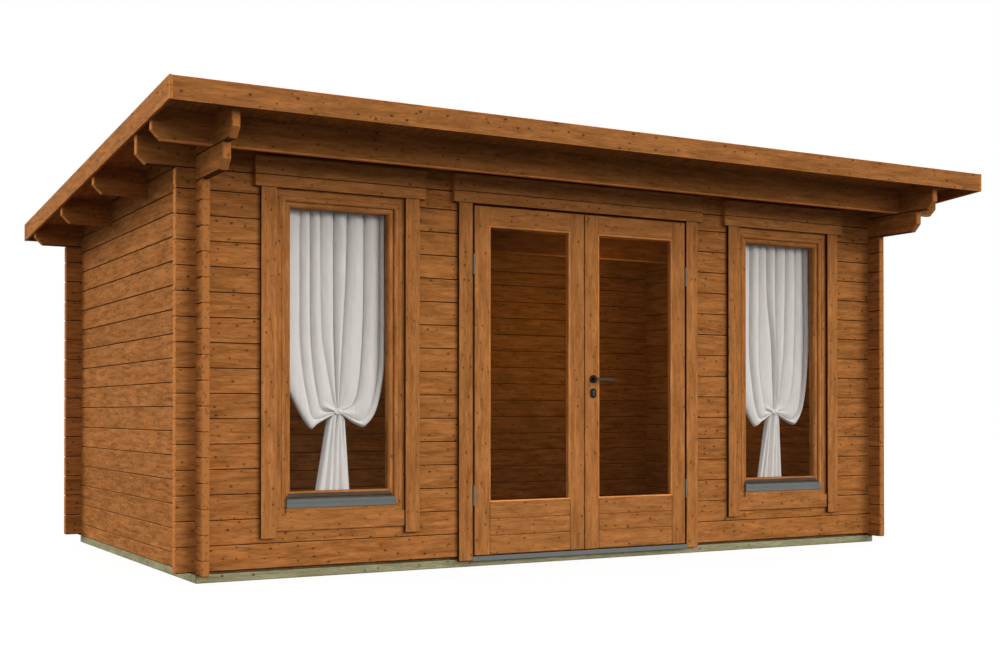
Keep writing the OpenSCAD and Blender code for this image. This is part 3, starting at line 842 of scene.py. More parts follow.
def course_start():
    """The foot of the front and back walls' first course, which the lowest log cuts short."""
    timber = bpy.context.scene.log_cabin.timber
    return WALL_FOOT + timber.lowest_log - timber.log_height


def grained(axis, *kinds):
    """The names of finishes whose grain runs along an axis."""
    return [f"{kind}_{axis}" for kind in kinds]


# The wall logs' finishes: faces, ends, lower chamfers darkened as painted shade and upper chamfers
# lightened as painted highlight
WALL_FINISHES = ("wall_log", "wall_end", "joint", "log_crest")
# How far the lower corbel logs reach in front of the front wall
LOWER_CORBEL = 0.452


class CABIN_OT_long_walls(bpy.types.Operator):
    """Lay the logs of the front and back walls"""

    bl_idname = "cabin.long_walls"
    bl_label = "Front and Back Walls"

    def execute(self, context):
        finishes = grained("x", *WALL_FINISHES)
        corner = HALF_WIDTH - LOG_THICKNESS
        end = HALF_WIDTH + LOG_END
        hole = (WINDOW_X - CASING_X, WINDOW_X + CASING_X,
                low("window_casings").z, high("window_casings").z)
        for side, name in ((-1, "left"), (1, "right")):
            shape = Shape()
            u0, u1 = sorted((side * DOOR_GAP, side * end))
            for z0, z1, *fill in courses(course_start(), FRONT_PLATE):
                cuts = crossing_cuts(corner, HALF_WIDTH, z0, z1, *fill) + [hole]
                cuts = [(*sorted((side * a, side * b)), c, d) for a, b, c, d in cuts]
                lay_log(shape, 1, FRONT, u0, u1, z0, z1, cuts)
            shape.piece(f"front_logs_{name}", "wall_logs", finishes, f"front_wall_{name}")
        shape = Shape()
        foot = low("front_wall_over_door").z
        lay_log(shape, 1, FRONT, -DOOR_GAP, DOOR_GAP, foot, FRONT_PLATE)
        shape.piece("logs_over_door", "wall_logs", finishes, "front_wall_over_door")
        shape = Shape()
        for z0, z1, *fill in courses(course_start(), BACK_PLATE):
            cuts = (crossing_cuts(-HALF_WIDTH, -corner, z0, z1, *fill)
                    + crossing_cuts(corner, HALF_WIDTH, z0, z1, *fill))
            lay_log(shape, 1, BACK - LOG_THICKNESS, -end, end, z0, z1, cuts)
        shape.piece("back_logs", "wall_logs", finishes, "back_wall")
        return {"FINISHED"}


class CABIN_OT_side_walls(bpy.types.Operator):
    """Lay the logs of the side walls and the corbel logs on them"""

    bl_idname = "cabin.side_walls"
    bl_label = "Side Walls"

    def execute(self, context):
        height = context.scene.log_cabin.timber.log_height
        finishes = grained("y", *WALL_FINISHES)
        crossings = ((FRONT, FRONT + LOG_THICKNESS), (BACK - LOG_THICKNESS, BACK))
        purlins = purlin_places()
        purlin_cuts = [(y, y + LOG_THICKNESS, z, OVER_ROOF) for y, z in purlins[1:]]
        eaves, last = purlins[0][0], purlins[-1][0]
        corbel_joint = GABLE + height
        eaves_lap = (corbel_joint + roof_at(eaves)) / 2
        lower_front = FRONT - LOWER_CORBEL
        back_end = BACK + LOG_END
        for name, face in (("left", -HALF_WIDTH), ("right", HALF_WIDTH - LOG_THICKNESS)):
            shape = Shape()
            for z0, z1, *fill in courses(course_start() - height / 2, GABLE):
                cuts = list(purlin_cuts)
                for crossing in crossings:
                    cuts += crossing_cuts(*crossing, z0, z1, *fill)
                lay_log(shape, 0, face, FRONT - LOG_END, back_end, z0, z1, cuts)
            shape.piece(f"{name}_side_logs", "wall_logs", finishes, f"{name}_wall")

            node = f"{name}_gable_logs"
            upper_front = low(node).y
            fill = GABLE + height / 4
            shape = Shape()
            cuts = crossing_cuts(*crossings[0], GABLE, corbel_joint, fill,
                                 corbel_joint - height / 4)
            lay_log(shape, 0, face, lower_front, last, GABLE, corbel_joint,
                    cuts + purlin_cuts, noses=(lower_front,))
            cuts = crossing_cuts(*crossings[1], GABLE, OVER_ROOF, fill, OVER_ROOF)
            lay_log(shape, 0, face, last + LOG_THICKNESS, back_end, GABLE, OVER_ROOF, cuts)
            cuts = purlin_cuts + [(eaves, eaves + LOG_THICKNESS, eaves_lap, OVER_ROOF)]
            lay_log(shape, 0, face, upper_front, last, corbel_joint, OVER_ROOF, cuts,
                    noses=(upper_front,))
            shape.piece(f"{name}_corbel_logs", "roof_logs", finishes, node)
        return {"FINISHED"}


def purlin_places():
    """Front face and foot of the eaves purlin and the two middle purlins."""
    eaves = low("eaves_purlin")
    height = roof_at(eaves.y + LOG_THICKNESS / 2) - eaves.z
    last = high("middle_purlins").y - LOG_THICKNESS
    return [
        (y, roof_at(y + LOG_THICKNESS / 2) - height)
        for y in (eaves.y, low("middle_purlins").y, last)
    ]


class CABIN_OT_roof_timbers(bpy.types.Operator):
    """Lay the plate logs and purlins under the roof"""

    bl_idname = "cabin.roof_timbers"
    bl_label = "Plates and Purlins"

    def execute(self, context):
        height = context.scene.log_cabin.timber.log_height
        end = DECK_HIGH.x
        corner = HALF_WIDTH - LOG_THICKNESS
        purlins = purlin_places()
        lap = (GABLE + height + roof_at(purlins[0][0])) / 2
        # Each one's places, the top of what it loses at the side walls, and its lower edge's
        # finish: painted shade on the plates, a painted highlight on the eaves purlin
        for name, node, places, cut, edge in (
            ("front_plate", "front_plate_log", [(FRONT, FRONT_PLATE)],
             FRONT_PLATE + height / 4, "joint"),
            ("back_plate", "back_plate_log", [(BACK - LOG_THICKNESS, BACK_PLATE)],
             BACK_PLATE + height / 2, "joint"),
            ("eaves_purlin_log", "eaves_purlin", purlins[:1], lap, "arris"),
            ("middle_purlin_logs", "middle_purlins", purlins[1:], 0.0, "roof_log"),
        ):
            shape = Shape()
            for y, z in places:
                cuts = [(-HALF_WIDTH, -corner, z, cut), (corner, HALF_WIDTH, z, cut)]
                lay_log(shape, 1, y, -end, end, z, OVER_ROOF, cuts if cut else (),
                        noses=(-end, end))
            shape.piece(name, "roof_logs", grained("x", "roof_log", "wall_end", edge, "roof_log"),
                        node)
        return {"FINISHED"}


def over_roof(*points):
    """An outline of points given as a depth and a height over the roof boards' underside."""
    return [(y, roof_at(y) + z) for y, z in points]


def sloped(y0, y1, z0, z1):
    """The outline of a layer that follows the roof."""
    return over_roof((y0, z0), (y1, z0), (y1, z1), (y0, z1))


class CABIN_OT_roof_boards(bpy.types.Operator):
    """Lay the roof boards and the felt on them"""

    bl_idname = "cabin.roof_boards"
    bl_label = "Roof Boards and Felt"

    def execute(self, context):
        timber = context.scene.log_cabin.timber
        count = round((DECK_HIGH.x - DECK_LOW.x) / timber.roof_board)
        width = (DECK_HIGH.x - DECK_LOW.x) / count
        groove = 0.0012
        shape = Shape()
        outline = sloped(DECK_LOW.y, DECK_HIGH.y, 0.0, DECK_THICKNESS)
        for k in range(count):
            x = DECK_LOW.x + k * width
            shape.prism(0, x, x + width, outline, [groove, 0.0, 0.0, 0.0], groove, [0, 1, 0, 1])
        shape.piece("roof_boards", "deck_boards", grained("y", "roof_board", "wall_end"),
                    "roof_deck")

        shape = Shape()
        foot = DECK_THICKNESS
        top, over = foot + FELT_THICKNESS, foot + 2 * FELT_THICKNESS
        # How far from the sheet below it a sheet starts and ends its rise on to it
        rise, risen = 0.04, 0.01
        y1 = DECK_HIGH.y
        for k in range(math.ceil((DECK_HIGH.y - DECK_LOW.y) / timber.felt_width)):
            y0 = max(y1 - timber.felt_width, DECK_LOW.y)
            points = [(y0, foot), (y1, foot), (y1, top), (y0, top)]
            if k:
                lap = min(y1 + FELT_LAP, DECK_HIGH.y)
                points[3:3] = [(lap, top), (lap, over), (y1 - risen, over), (y1 - rise, top)]
            shape.prism(0, DECK_LOW.x, DECK_HIGH.x, over_roof(*points), 0.0, 0.001)
            y1 = y0
        shape.piece("felt_sheets", "roof_felt", ["felt"], "roof_felt")
        return {"FINISHED"}


class CABIN_OT_fascias(bpy.types.Operator):
    """Fit the fascia boards round the roof"""

    bl_idname = "cabin.fascias"
    bl_label = "Fascias"

    def execute(self, context):
        ease = context.scene.log_cabin.fittings.easing
        thickness = DECK_LOW.x - ROOF_LOW.x
        # The third finish lightens the fascias' eased edges as painted highlight; the front and
        # back boards' tone is darkened as painted shade
        kinds = ("fascia", "wall_end", "arris")
        for name, y0 in (("front", ROOF_LOW.y), ("back", ROOF_HIGH.y - thickness)):
            shape = Shape()
            outline = cut_corners(sloped(y0, y0 + thickness, FASCIA_FOOT, FASCIA_TOP), ease)
            shape.prism(0, DECK_LOW.x, DECK_HIGH.x, outline, ease / 2, ease / 2, [2, 0] * 4, 1)
            shape.piece(f"{name}_fascia_board", "fascia_boards", grained("x", *kinds),
                        f"{name}_fascia")
        shape = Shape()
        outline = sloped(ROOF_LOW.y, ROOF_HIGH.y, FASCIA_FOOT, FASCIA_TOP)
        for x0 in (ROOF_LOW.x, ROOF_HIGH.x - thickness):
            shape.prism(0, x0, x0 + thickness, outline, ease, ease, [0, 1, 0, 1], rim=2)
        shape.piece("side_fascia_boards", "fascia_boards", grained("y", *kinds), "side_fascias")
        return {"FINISHED"}


class CABIN_OT_base(bpy.types.Operator):
    """Lay the foundation bearers and the floor boards"""

    bl_idname = "cabin.base"
    bl_label = "Bearers and Floor"

    def execute(self, context):
        bearer = low("cross_bearers").y - low("long_bearers").y
        depth = high("floor_boards").y - low("floor_boards").y
        rows = round(depth / context.scene.log_cabin.timber.floor_board)
        treated = ("treated_timber", "bearer", "bearer_end", 0.004)
        for name, node, grain, width, count, (slot, side, end_kind, ease) in (
            ("long_bearer_timbers", "long_bearers", 0, bearer, 2, treated),
            ("cross_bearer_timbers", "cross_bearers", 1, bearer, CROSS_BEARERS, treated),
            ("floor", "floor_boards", 0, depth / rows, rows,
             ("floor_timber", "floor_board", "wall_end", 0.0015)),
        ):
            start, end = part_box(node)
            across = 1 - grain
            pitch = (end[across] - start[across] - width) / (count - 1)
            shape = Shape()
            for k in range(count):
                near, far = list(start), list(end)
                near[across] += k * pitch
                far[across] = near[across] + width
                shape.board(near, far, ease, grain)
            shape.piece(name, slot, grained("xy"[grain], side, end_kind), node)
        return {"FINISHED"}


class CABIN_OT_trims(bpy.types.Operator):
    """Fit the side trims and the head boards round the windows and the door"""

    bl_idname = "cabin.trims"
    bl_label = "Trims and Head Boards"

    def execute(self, context):
        ease = context.scene.log_cabin.fittings.easing
        # The third finish darkens the side trims' side edges, the head boards' undersides and their
        # seams as painted shade
        kinds = ("trim", "wall_end", "trim_edge")
        width = 0.090
        door = high("door_threshold").x
        window = CASING_X - TRIM_LAP
        below_sill, head_lap = 0.037, 0.009
        window_foot = low("window_sills").z - below_sill
        window_head, door_head = high("window_casings").z - head_lap, high("door_stops").z
        trim = low("side_trims")
        shape = Shape()
        sides = [(x + s * window, s, window_foot, window_head) for x in WINDOWS for s in (-1, 1)]
        sides += [(s * door, s, trim.z, door_head) for s in (-1, 1)]
        for x, s, foot, top in sides:
            x0, x1 = sorted((x, x + s * width))
            shape.board((x0, trim.y, foot), (x1, FRONT, top), ease, 2, 1, 2)
        shape.piece("side_trim_boards", "trim_boards", grained("z", *kinds), "side_trims")

        # Each head board is a lower board and a coved board over it; the lower board's underside
        # and the seam between them are darkened as painted shade
        shape = Shape()
        face, flare = FRONT - 0.032, 0.016
        height, joint, past_trim = 0.165, 0.064, 0.035
        for x, half, z0 in (
            (-WINDOW_X, window, window_head), (0.0, door, door_head),
            (WINDOW_X, window, window_head),
        ):
            half += width + past_trim
            seam, top = z0 + joint, z0 + height
            lower = [(face, z0), (FRONT, z0), (FRONT, seam), (face, seam)]
            cove = [
                (face - flare * (1 - math.cos(a)), top - 2 * flare + 1.5 * flare * math.sin(a))
                for a in np.linspace(math.pi / 2, 0, 7)
            ]
            upper = [(face + ease, seam), (FRONT, seam), (FRONT, top), (face - flare, top),
                     *cove, (face, seam + ease * 1.6)]
            for outline, finishes in (
                (cut_corners(lower, ease), [0, 2, 2, 0, 0, 0, 0, 0]),
                (upper, [0] * (len(upper) - 1) + [2]),
            ):
                shape.prism(0, x - half, x + half, outline, ease / 2, ease / 2, finishes, 1)
        shape.piece("head_board_timbers", "trim_boards", grained("x", *kinds), "head_boards")
        return {"FINISHED"}


JOINERY = ("joinery_z", "joinery_x")
# Heights of the joints between a door leaf's lower boards
LEAF_JOINTS = (0.111, 0.210)
SILL_SHOULDER = 0.089


def frame_windows(name, node, half, width, profile, inner_foot, dark_steps):
    """A mitred frame in each window, its lower side up to inner_foot."""
    start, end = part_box(node)
    foot = (inner_foot - start.z) / width
    shape = Shape()
    for x in WINDOWS:
        shape.frame_round(x - half, x + half, start.z, end.z, profile, foot, dark_steps)
    shape.piece(name, "joinery", (*JOINERY, "sash_foot_x"), node)


class CABIN_OT_windows(bpy.types.Operator):
    """Make the window casings, sashes, panes, sill boards and flashings"""

    bl_idname = "cabin.windows"
    bl_label = "Windows"

    def execute(self, context):
        ease = context.scene.log_cabin.fittings.easing
        y0, y1 = low("window_casings").y, high("window_casings").y
        width = CASING_X - SASH_X
        # A casing has a groove round its face and a slant round its inner edge
        groove, sunk = width * 0.60, y0 + 0.003
        profile = [
            (0.0, y0 + ease), (ease, y0),
            (groove, y0), (groove + 0.002, sunk), (groove + 0.005, sunk), (groove + 0.007, y0),
            (width - 0.006, y0), (width, y0 + 0.006), (width, y1 - ease), (width - ease, y1),
            (ease, y1), (0.0, y1 - ease),
        ]
        frame_windows("casings", "window_casings", CASING_X, width, profile,
                      low("window_sashes").z, (6, 7))

        y0, y1 = low("window_sashes").y, high("window_sashes").y
        width = SASH_X - PANE_X
        # A sash fits its casing with a gap and slants in towards its pane
        gap = 0.0015
        profile = [
            (gap, y0 + ease), (gap + ease, y0), (width - 0.009, y0), (width - 0.001, y0 + 0.008),
            (width, y0 + 0.010), (width, y1 - ease), (width - ease, y1), (gap + ease, y1),
            (gap, y1 - ease),
        ]
        frame_windows("sashes", "window_sashes", SASH_X, width, profile,
                      low("window_glass").z, (0, 1))
        coat("glass", "glass", "window_glass")

        # Each sill board fills the gap under the sash between its shoulders
        shape = Shape()
        start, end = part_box("window_sills")
        wide = CASING_X - TRIM_LAP
        shoulder = start.z + SILL_SHOULDER
        for x in WINDOWS:
            outline = [
                (x - wide, start.z), (x + wide, start.z), (x + wide, shoulder),
                (x + SASH_X, shoulder), (x + SASH_X, end.z), (x - SASH_X, end.z),
                (x - SASH_X, shoulder), (x - wide, shoulder),
            ]
            shape.prism(1, start.y, end.y, outline, ease, ease, [0, 1] * 4)
        shape.piece("sill_boards", "trim_boards", grained("x", "trim", "wall_end"), "window_sills")

        # A flashing's face leans back at its upper edge and has a groove along its middle
        shape = Shape()
        start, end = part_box("window_flashings")
        y0, z0, z1 = start.y, start.z, end.z
        mid, bent = (z0 + z1) / 2, y0 + 0.002
        outline = [
            (y0 + 0.004, z0), (end.y, z0), (end.y, z1), (bent, z1 - 0.003), (y0, z1 - 0.006),
            (y0, mid + 0.005), (bent, mid + 0.002), (bent, mid - 0.002),
            (y0, mid - 0.005), (y0, z0 + 0.003),
        ]
        for x in WINDOWS:
            shape.prism(0, x - SASH_X, x + SASH_X, outline, 0.0005, 0.0005)
        shape.piece("flashings", "flashing_metal", ["flashing"], "window_flashings")
        return {"FINISHED"}


class CABIN_OT_door_frame(bpy.types.Operator):
    """Make the door frame with its stops, threshold and hinge pins"""

    bl_idname = "cabin.door_frame"
    bl_label = "Door Frame"

    def execute(self, context):
        ease = context.scene.log_cabin.fittings.easing
        start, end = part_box("door_frame")
        stop_low, stop_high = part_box("door_stops")
        door, head = high("door_threshold").x, stop_high.z
        floor = high("floor_boards").z
        inner = FRONT + LOG_THICKNESS
        shape = Shape()
        jamb = [(start.y, start.z), (inner, start.z), (inner, floor), (end.y, floor),
                (end.y, head), (start.y, head)]
        for x0, x1 in ((start.x, -door), (door, end.x)):
            shape.prism(0, x0, x1, jamb, ease, ease)
        shape.rail((start.x, start.y, head), end, ease)
        shape.rail((-door, start.y, start.z), (door, inner, stop_low.z), ease)
        shape.piece("door_jambs", "joinery", JOINERY, "door_frame")

        shape = Shape()
        width = 0.030
        for x0, x1 in ((-door, -door + width), (door - width, door)):
            shape.board((x0, stop_low.y, floor), (x1, stop_high.y, head), ease, 2, 0)
        shape.rail((-door + width, stop_low.y, head - width), (door - width, stop_high.y, head),
                   ease)
        shape.piece("stop_battens", "joinery", JOINERY, "door_stops")
        coat("flashing", "flashing_metal", "door_threshold")
        ease_node("door_threshold", 0.001)
        coat("zinc", "hinge_metal", "door_frame_hinges")
        return {"FINISHED"}


class CABIN_OT_door_leaves(bpy.types.Operator):
    """Make the two glazed door leaves"""

    bl_idname = "cabin.door_leaves"
    bl_label = "Door Leaves"

    def execute(self, context):
        fittings = context.scene.log_cabin.fittings
        ease, bead = fittings.easing * 0.8, fittings.bead
        for name in ("left", "right"):
            body = f"{name}_door"
            start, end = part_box(f"{name}_door_frame")
            pane_low, pane_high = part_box(f"{name}_door_glass")
            x0, x1 = pane_low.x - bead, pane_high.x + bead
            z0, z1 = pane_low.z - bead, pane_high.z + bead
            shape = Shape()
            for a, b in ((start.x, x0), (x1, end.x)):
                shape.board((a, start.y, start.z), (b, end.y, end.z), ease, 2, 0)
            shape.rail((x0, start.y, z1), (x1, end.y, end.z), ease)
            shape.piece(f"{name}_leaf_frame", "joinery", JOINERY, f"{name}_door_frame", body=body)

            shape = Shape()
            joints = [start.z, *(start.z + height for height in LEAF_JOINTS), z0]
            for a, b in zip(joints, joints[1:]):
                shape.board((x0, start.y, a), (x1, end.y, b), fittings.easing * 2, 0, 0)
            shape.piece(f"{name}_leaf_boards", "joinery", ["joinery_x"], f"{name}_door_panel",
                        body=body)

            # Beads on both sides of the pane slope down to it from the leaf's face
            shape = Shape()
            for face, inward, glass in ((start.y, 1, pane_low.y), (end.y, -1, pane_high.y)):
                profile = [(0.0, face + inward * 0.001), (bead * 0.35, face + inward * 0.0005),
                           (bead, face + inward * 0.007), (bead, glass), (0.0, glass)]
                shape.frame_round(x0, x1, z0, z1, profile)
            shape.piece(f"{name}_glazing_beads", "joinery", ("bead_z", "bead_x"), body=body)
            coat("glass", "glass", f"{name}_door_glass")
            coat("zinc", "hinge_metal", f"{name}_door_hinges")
        return {"FINISHED"}


class CABIN_OT_fittings(bpy.types.Operator):
    """Finish the lever, its plates, the lock and the curtain rods"""

    bl_idname = "cabin.fittings"
    bl_label = "Lever, Lock and Rods"

    def execute(self, context):
        ease_node("handle_plates", 0.0015, 3)
        coat("iron", "black_metal", "handle_plates", "curtain_rods")
        coat("lock", "black_metal", "door_lever")
        coat("lock", "lock_metal", "lock_cylinder")
        return {"FINISHED"}


# How far down a strand of a curtain each of its points is, from the rod to the knot
STRAND_STEPS = (0.0, 0.22, 0.45, 0.60, 0.74, 0.85, 0.91, 0.96, 1.0)
# The strands of each curtain that lie in a crease or at a hem: how deep the crease is, and the
# points that the strand passes, across and up from the knot. It starts at the rod.
STRANDS = {
    "left": (
        (0.6, ((-0.371, 9), (-0.371, 0.80), (-0.370, 0.45), (-0.345, 0.22), (-0.285, 0.087),
               (-0.172, -0.087), (-0.120, -0.062), (-0.058, -0.030), (-0.020, -0.010))),
        (0.45, ((-0.229, 9), (-0.229, 0.80), (-0.229, 0.45), (-0.214, 0.23), (-0.188, 0.075),
                (-0.158, -0.028), (-0.115, -0.036), (-0.055, -0.012), (-0.016, -0.002))),
        (0.7, ((-0.164, 9), (-0.164, 0.80), (-0.160, 0.45), (-0.148, 0.25), (-0.128, 0.12),
               (-0.108, 0.032), (-0.082, 0.008), (-0.040, 0.004), (-0.013, 0.004))),
        (0.5, ((-0.106, 9), (-0.104, 0.80), (-0.095, 0.45), (-0.072, 0.28), (-0.050, 0.16),
               (-0.032, 0.080), (-0.023, 0.045), (-0.014, 0.025), (-0.009, 0.010))),
        (1.0, ((-0.020, 9), (-0.020, 0.80), (-0.018, 0.45), (-0.015, 0.28), (-0.011, 0.15),
               (-0.008, 0.070), (-0.006, 0.040), (-0.004, 0.024), (-0.003, 0.012))),
        (1.0, ((0.065, 9), (0.058, 0.80), (0.036, 0.45), (0.023, 0.28), (0.014, 0.15),
               (0.008, 0.070), (0.006, 0.040), (0.004, 0.024), (0.004, 0.012))),
        (1.0, ((0.168, 9), (0.168, 0.80), (0.164, 0.50), (0.148, 0.27), (0.124, 0.11),
               (0.096, 0.046), (0.070, 0.028), (0.034, 0.014), (0.010, 0.008))),
        (0.6, ((0.262, 9), (0.262, 0.80), (0.262, 0.45), (0.250, 0.23), (0.202, 0.035),
               (0.146, -0.044), (0.100, -0.040), (0.048, -0.014), (0.015, 0.002))),
        (0.8, ((0.288, 9), (0.288, 0.80), (0.290, 0.45), (0.284, 0.22), (0.236, 0.012),
               (0.164, -0.080), (0.114, -0.068), (0.056, -0.032), (0.020, -0.008))),
    ),
    "right": (
        (0.6, ((-0.371, 9), (-0.371, 0.80), (-0.368, 0.45), (-0.335, 0.18), (-0.262, 0.020),
               (-0.180, -0.092), (-0.120, -0.066), (-0.058, -0.030), (-0.020, -0.010))),
        (0.7, ((-0.207, 9), (-0.210, 0.80), (-0.212, 0.45), (-0.200, 0.23), (-0.176, 0.060),
               (-0.140, -0.034), (-0.104, -0.036), (-0.052, -0.012), (-0.016, -0.002))),
        (0.4, ((-0.136, 9), (-0.136, 0.80), (-0.138, 0.45), (-0.132, 0.25), (-0.112, 0.12),
               (-0.092, 0.036), (-0.070, 0.014), (-0.036, 0.006), (-0.013, 0.004))),
        (1.0, ((-0.065, 9), (-0.058, 0.80), (-0.018, 0.50), (-0.008, 0.30), (-0.004, 0.16),
               (-0.004, 0.080), (-0.006, 0.045), (-0.006, 0.025), (-0.005, 0.010))),
        (0.8, ((0.018, 9), (0.012, 0.80), (0.010, 0.45), (0.012, 0.28), (0.010, 0.15),
               (0.006, 0.070), (0.002, 0.040), (0.000, 0.024), (0.000, 0.012))),
        (0.7, ((0.105, 9), (0.100, 0.80), (0.088, 0.45), (0.066, 0.28), (0.044, 0.15),
               (0.026, 0.070), (0.016, 0.040), (0.010, 0.024), (0.006, 0.012))),
        (0.5, ((0.180, 9), (0.182, 0.80), (0.178, 0.50), (0.160, 0.27), (0.134, 0.11),
               (0.104, 0.046), (0.074, 0.028), (0.036, 0.014), (0.010, 0.008))),
        (0.9, ((0.255, 9), (0.262, 0.80), (0.268, 0.45), (0.250, 0.23), (0.214, 0.035),
               (0.156, -0.044), (0.106, -0.040), (0.050, -0.014), (0.015, 0.002))),
        (0.8, ((0.310, 9), (0.310, 0.80), (0.306, 0.45), (0.280, 0.22), (0.240, 0.030),
               (0.182, -0.080), (0.124, -0.068), (0.058, -0.032), (0.020, -0.008))),
    ),
}


def along(points, t):
    """A point on a smooth line through points given as (t, x, z)."""
    keys = [p[0] for p in points]
    last = len(points) - 2
    i = max(0, min(last, int(np.searchsorted(keys, t, "right")) - 1))
    near = [max(0, min(last + 1, i + k)) for k in (-1, 0, 1, 2)]
    q = [keys[k] for k in near]
    reach = q[2] - q[1]
    u = (t - q[1]) / reach
    made = []
    for axis in (1, 2):
        p = [points[k][axis] for k in near]
        slope0 = (p[2] - p[0]) / max(q[2] - q[0], 1e-6) * reach
        slope1 = (p[3] - p[1]) / max(q[3] - q[1], 1e-6) * reach
        made.append(
            (2 * u**3 - 3 * u**2 + 1) * p[1] + (u**3 - 2 * u**2 + u) * slope0
            + (3 * u**2 - 2 * u**3) * p[2] + (u**3 - u**2) * slope1
        )
    return made


def bell(distance, width, power=2):
    """1 where the distance is 0, falling away over a width."""
    return math.exp(-abs(distance / width) ** power)


# The folds that fan out from a knot: their direction in degrees, how wide they are and how high
TUCKS = (
    (159.0, 7.0, 0.013), (175.0, 6.0, -0.010), (140.0, 7.0, -0.007), (24.0, 7.0, 0.013),
    (8.0, 6.0, -0.010), (44.0, 8.0, -0.007), (70.0, 5.0, -0.006), (112.0, 5.0, -0.006),
)

# The folds below a knot: where each starts and ends across the tail (-1 to 1), how wide it is,
# and how deep at its start and end
TAIL_FOLDS = {
    "left": (
        (-1.00, -1.00, 0.16, 0.030, 0.024), (-0.60, -0.45, 0.18, 0.006, 0.034),
        (-0.08, -0.12, 0.13, 0.034, 0.014), (0.16, 0.34, 0.14, 0.004, 0.034),
        (0.60, 0.74, 0.14, 0.030, 0.006), (1.00, 1.00, 0.14, 0.024, 0.030),
    ),
    "right": (
        (-1.00, -1.00, 0.14, 0.030, 0.026), (-0.72, -0.70, 0.12, 0.002, 0.026),
        (-0.30, -0.28, 0.17, 0.034, 0.034), (0.10, 0.20, 0.13, 0.002, 0.026),
        (0.50, 0.60, 0.13, 0.014, 0.034), (1.00, 1.00, 0.14, 0.026, 0.030),
    ),
}


# How many columns of faces lie between two strands, and how many rows down to the knot and below
PANEL_COLUMNS = 20
CLOTH_ROWS = 120
TAIL_ROWS = 44
# The rings and the turns round a knot
KNOT_RINGS, KNOT_TURNS = 24, 48
# Where a knot is: to the right of the window's middle, and over the curtain's foot
KNOT_ASIDE, KNOT_HEIGHT = 0.025, 0.498


def gathered_cloth(name, knot, top, fold_depth):
    """The corners of a curtain from its rod down to its knot, row by row."""
    # Where on its way down the cloth starts to gather, and how much its folds lose by the knot
    gather_start, fold_loss = 0.5, 0.5
    # The folds' roundness, from 1 down to 0 for square ones, and how far forward they hang
    roundness, forward = 0.6, 0.004
    # The dark slots in the creases
    slot_depth, slot_width = 0.026, 0.0055
    # How far from the knot its tucks are highest, and how wide they fade from there
    tuck_reach, tuck_fade = 0.060, 0.045
    # How far the cloth bulges between the rod and the knot, and how far aside in full
    bulge, bulge_aside = 0.012, 0.15
    knot_x, middle, knot_z = knot
    strands = STRANDS[name]
    corners = []
    for i in range(CLOTH_ROWS + 1):
        t = i / CLOTH_ROWS
        lines = [
            along([(step, x, min(z, top - knot_z)) for step, (x, z) in zip(STRAND_STEPS, line)],
                  t)
            for _, line in strands
        ]
        gather = min(1.0, max(0.0, (t - gather_start) / (1 - gather_start)))
        fold = fold_depth * (1 - fold_loss * gather)
        for j in range(PANEL_COLUMNS * (len(strands) - 1) + 1):
            k = min(j // PANEL_COLUMNS, len(strands) - 2)
            q = (1 - math.cos(math.pi * (j / PANEL_COLUMNS - k))) / 2
            (ax, az), (bx, bz) = lines[k], lines[k + 1]
            x, z = ax + (bx - ax) * q, az + (bz - az) * q
            crease = strands[k][0] * (1 - q) + strands[k + 1][0] * q
            out = 1 - crease * (1 - max(0.0, math.sin(math.pi * q)) ** roundness)
            edge = min(q, 1 - q) * math.hypot(bx - ax, bz - az)
            slot = slot_depth * crease ** 2 * bell(edge, slot_width) * (1 - gather)
            angle = math.degrees(math.atan2(z, x))
            tuck = sum(lift * bell(angle - way, width) for way, width, lift in TUCKS)
            tuck *= bell(math.hypot(x, z) - tuck_reach, tuck_fade) * gather
            lobe = bulge * math.sin(math.pi * gather) * min(1.0, abs(x) / bulge_aside)
            y = middle - forward - fold * (out - 0.5) + slot - tuck - lobe
            corners.append((knot_x + x, y, knot_z + z))
    return corners


def tail_cloth(name, knot, foot, columns):
    """The corners of a curtain from its knot down to its foot, row by row."""
    # Half of the tail's width at the knot, what it gains over the flare, and from there on
    narrow, flared, widened = 0.020, 0.036, 0.056
    # The flare's share of the tail, and how far below the knot's middle the tail starts
    flare, neck = 0.09, 0.004
    # How far the foot hangs to the left, and the tail forward, at its edges and more in between
    drift, forward, bow = 0.024, 0.006, 0.016
    deepest, fold_shape = 0.034, 1.4
    knot_x, middle, knot_z = knot
    corners = []
    for i in range(1, TAIL_ROWS + 1):
        t = i / TAIL_ROWS
        spread = narrow + flared * min(1.0, t / flare) ** 0.6
        spread += widened * max(0.0, (t - flare) / (1 - flare))
        for j in range(columns + 1):
            side = 2 * j / columns - 1
            dip = sum(
                (deep0 + (deep1 - deep0) * t)
                * bell(side - side0 - (side1 - side0) * t, wide, fold_shape)
                for side0, side1, wide, deep0, deep1 in TAIL_FOLDS[name]
            )
            corners.append((
                knot_x - drift * t + spread * side,
                middle - forward - bow * (1 - side * side) + min(dip, deepest),
                knot_z - neck + (foot - knot_z + neck) * t,
            ))
    return corners


def knot_cloth(knot):
    """The corners of the knot, ring by ring."""
    half_width, half_depth, half_height = 0.027, 0.024, 0.021
    forward, up = 0.006, 0.002
    # The ripples round the knot: how many, how high, and how far they twist from top to foot
    ripples, ripple_height, twist = 5, 0.10, 3
    corners = []
    for i in range(KNOT_RINGS + 1):
        a = math.pi * i / KNOT_RINGS
        for j in range(KNOT_TURNS):
            b = 2 * math.pi * j / KNOT_TURNS
            ripple = ripple_height * math.cos(ripples * b + twist * math.cos(a)) * math.sin(a)
            r = (1 + ripple) * math.sin(a)
            corners.append((
                knot[0] + half_width * r * math.cos(b),
                knot[1] - forward + half_depth * r * math.sin(b),
                knot[2] + up + half_height * math.cos(a),
            ))
    return corners


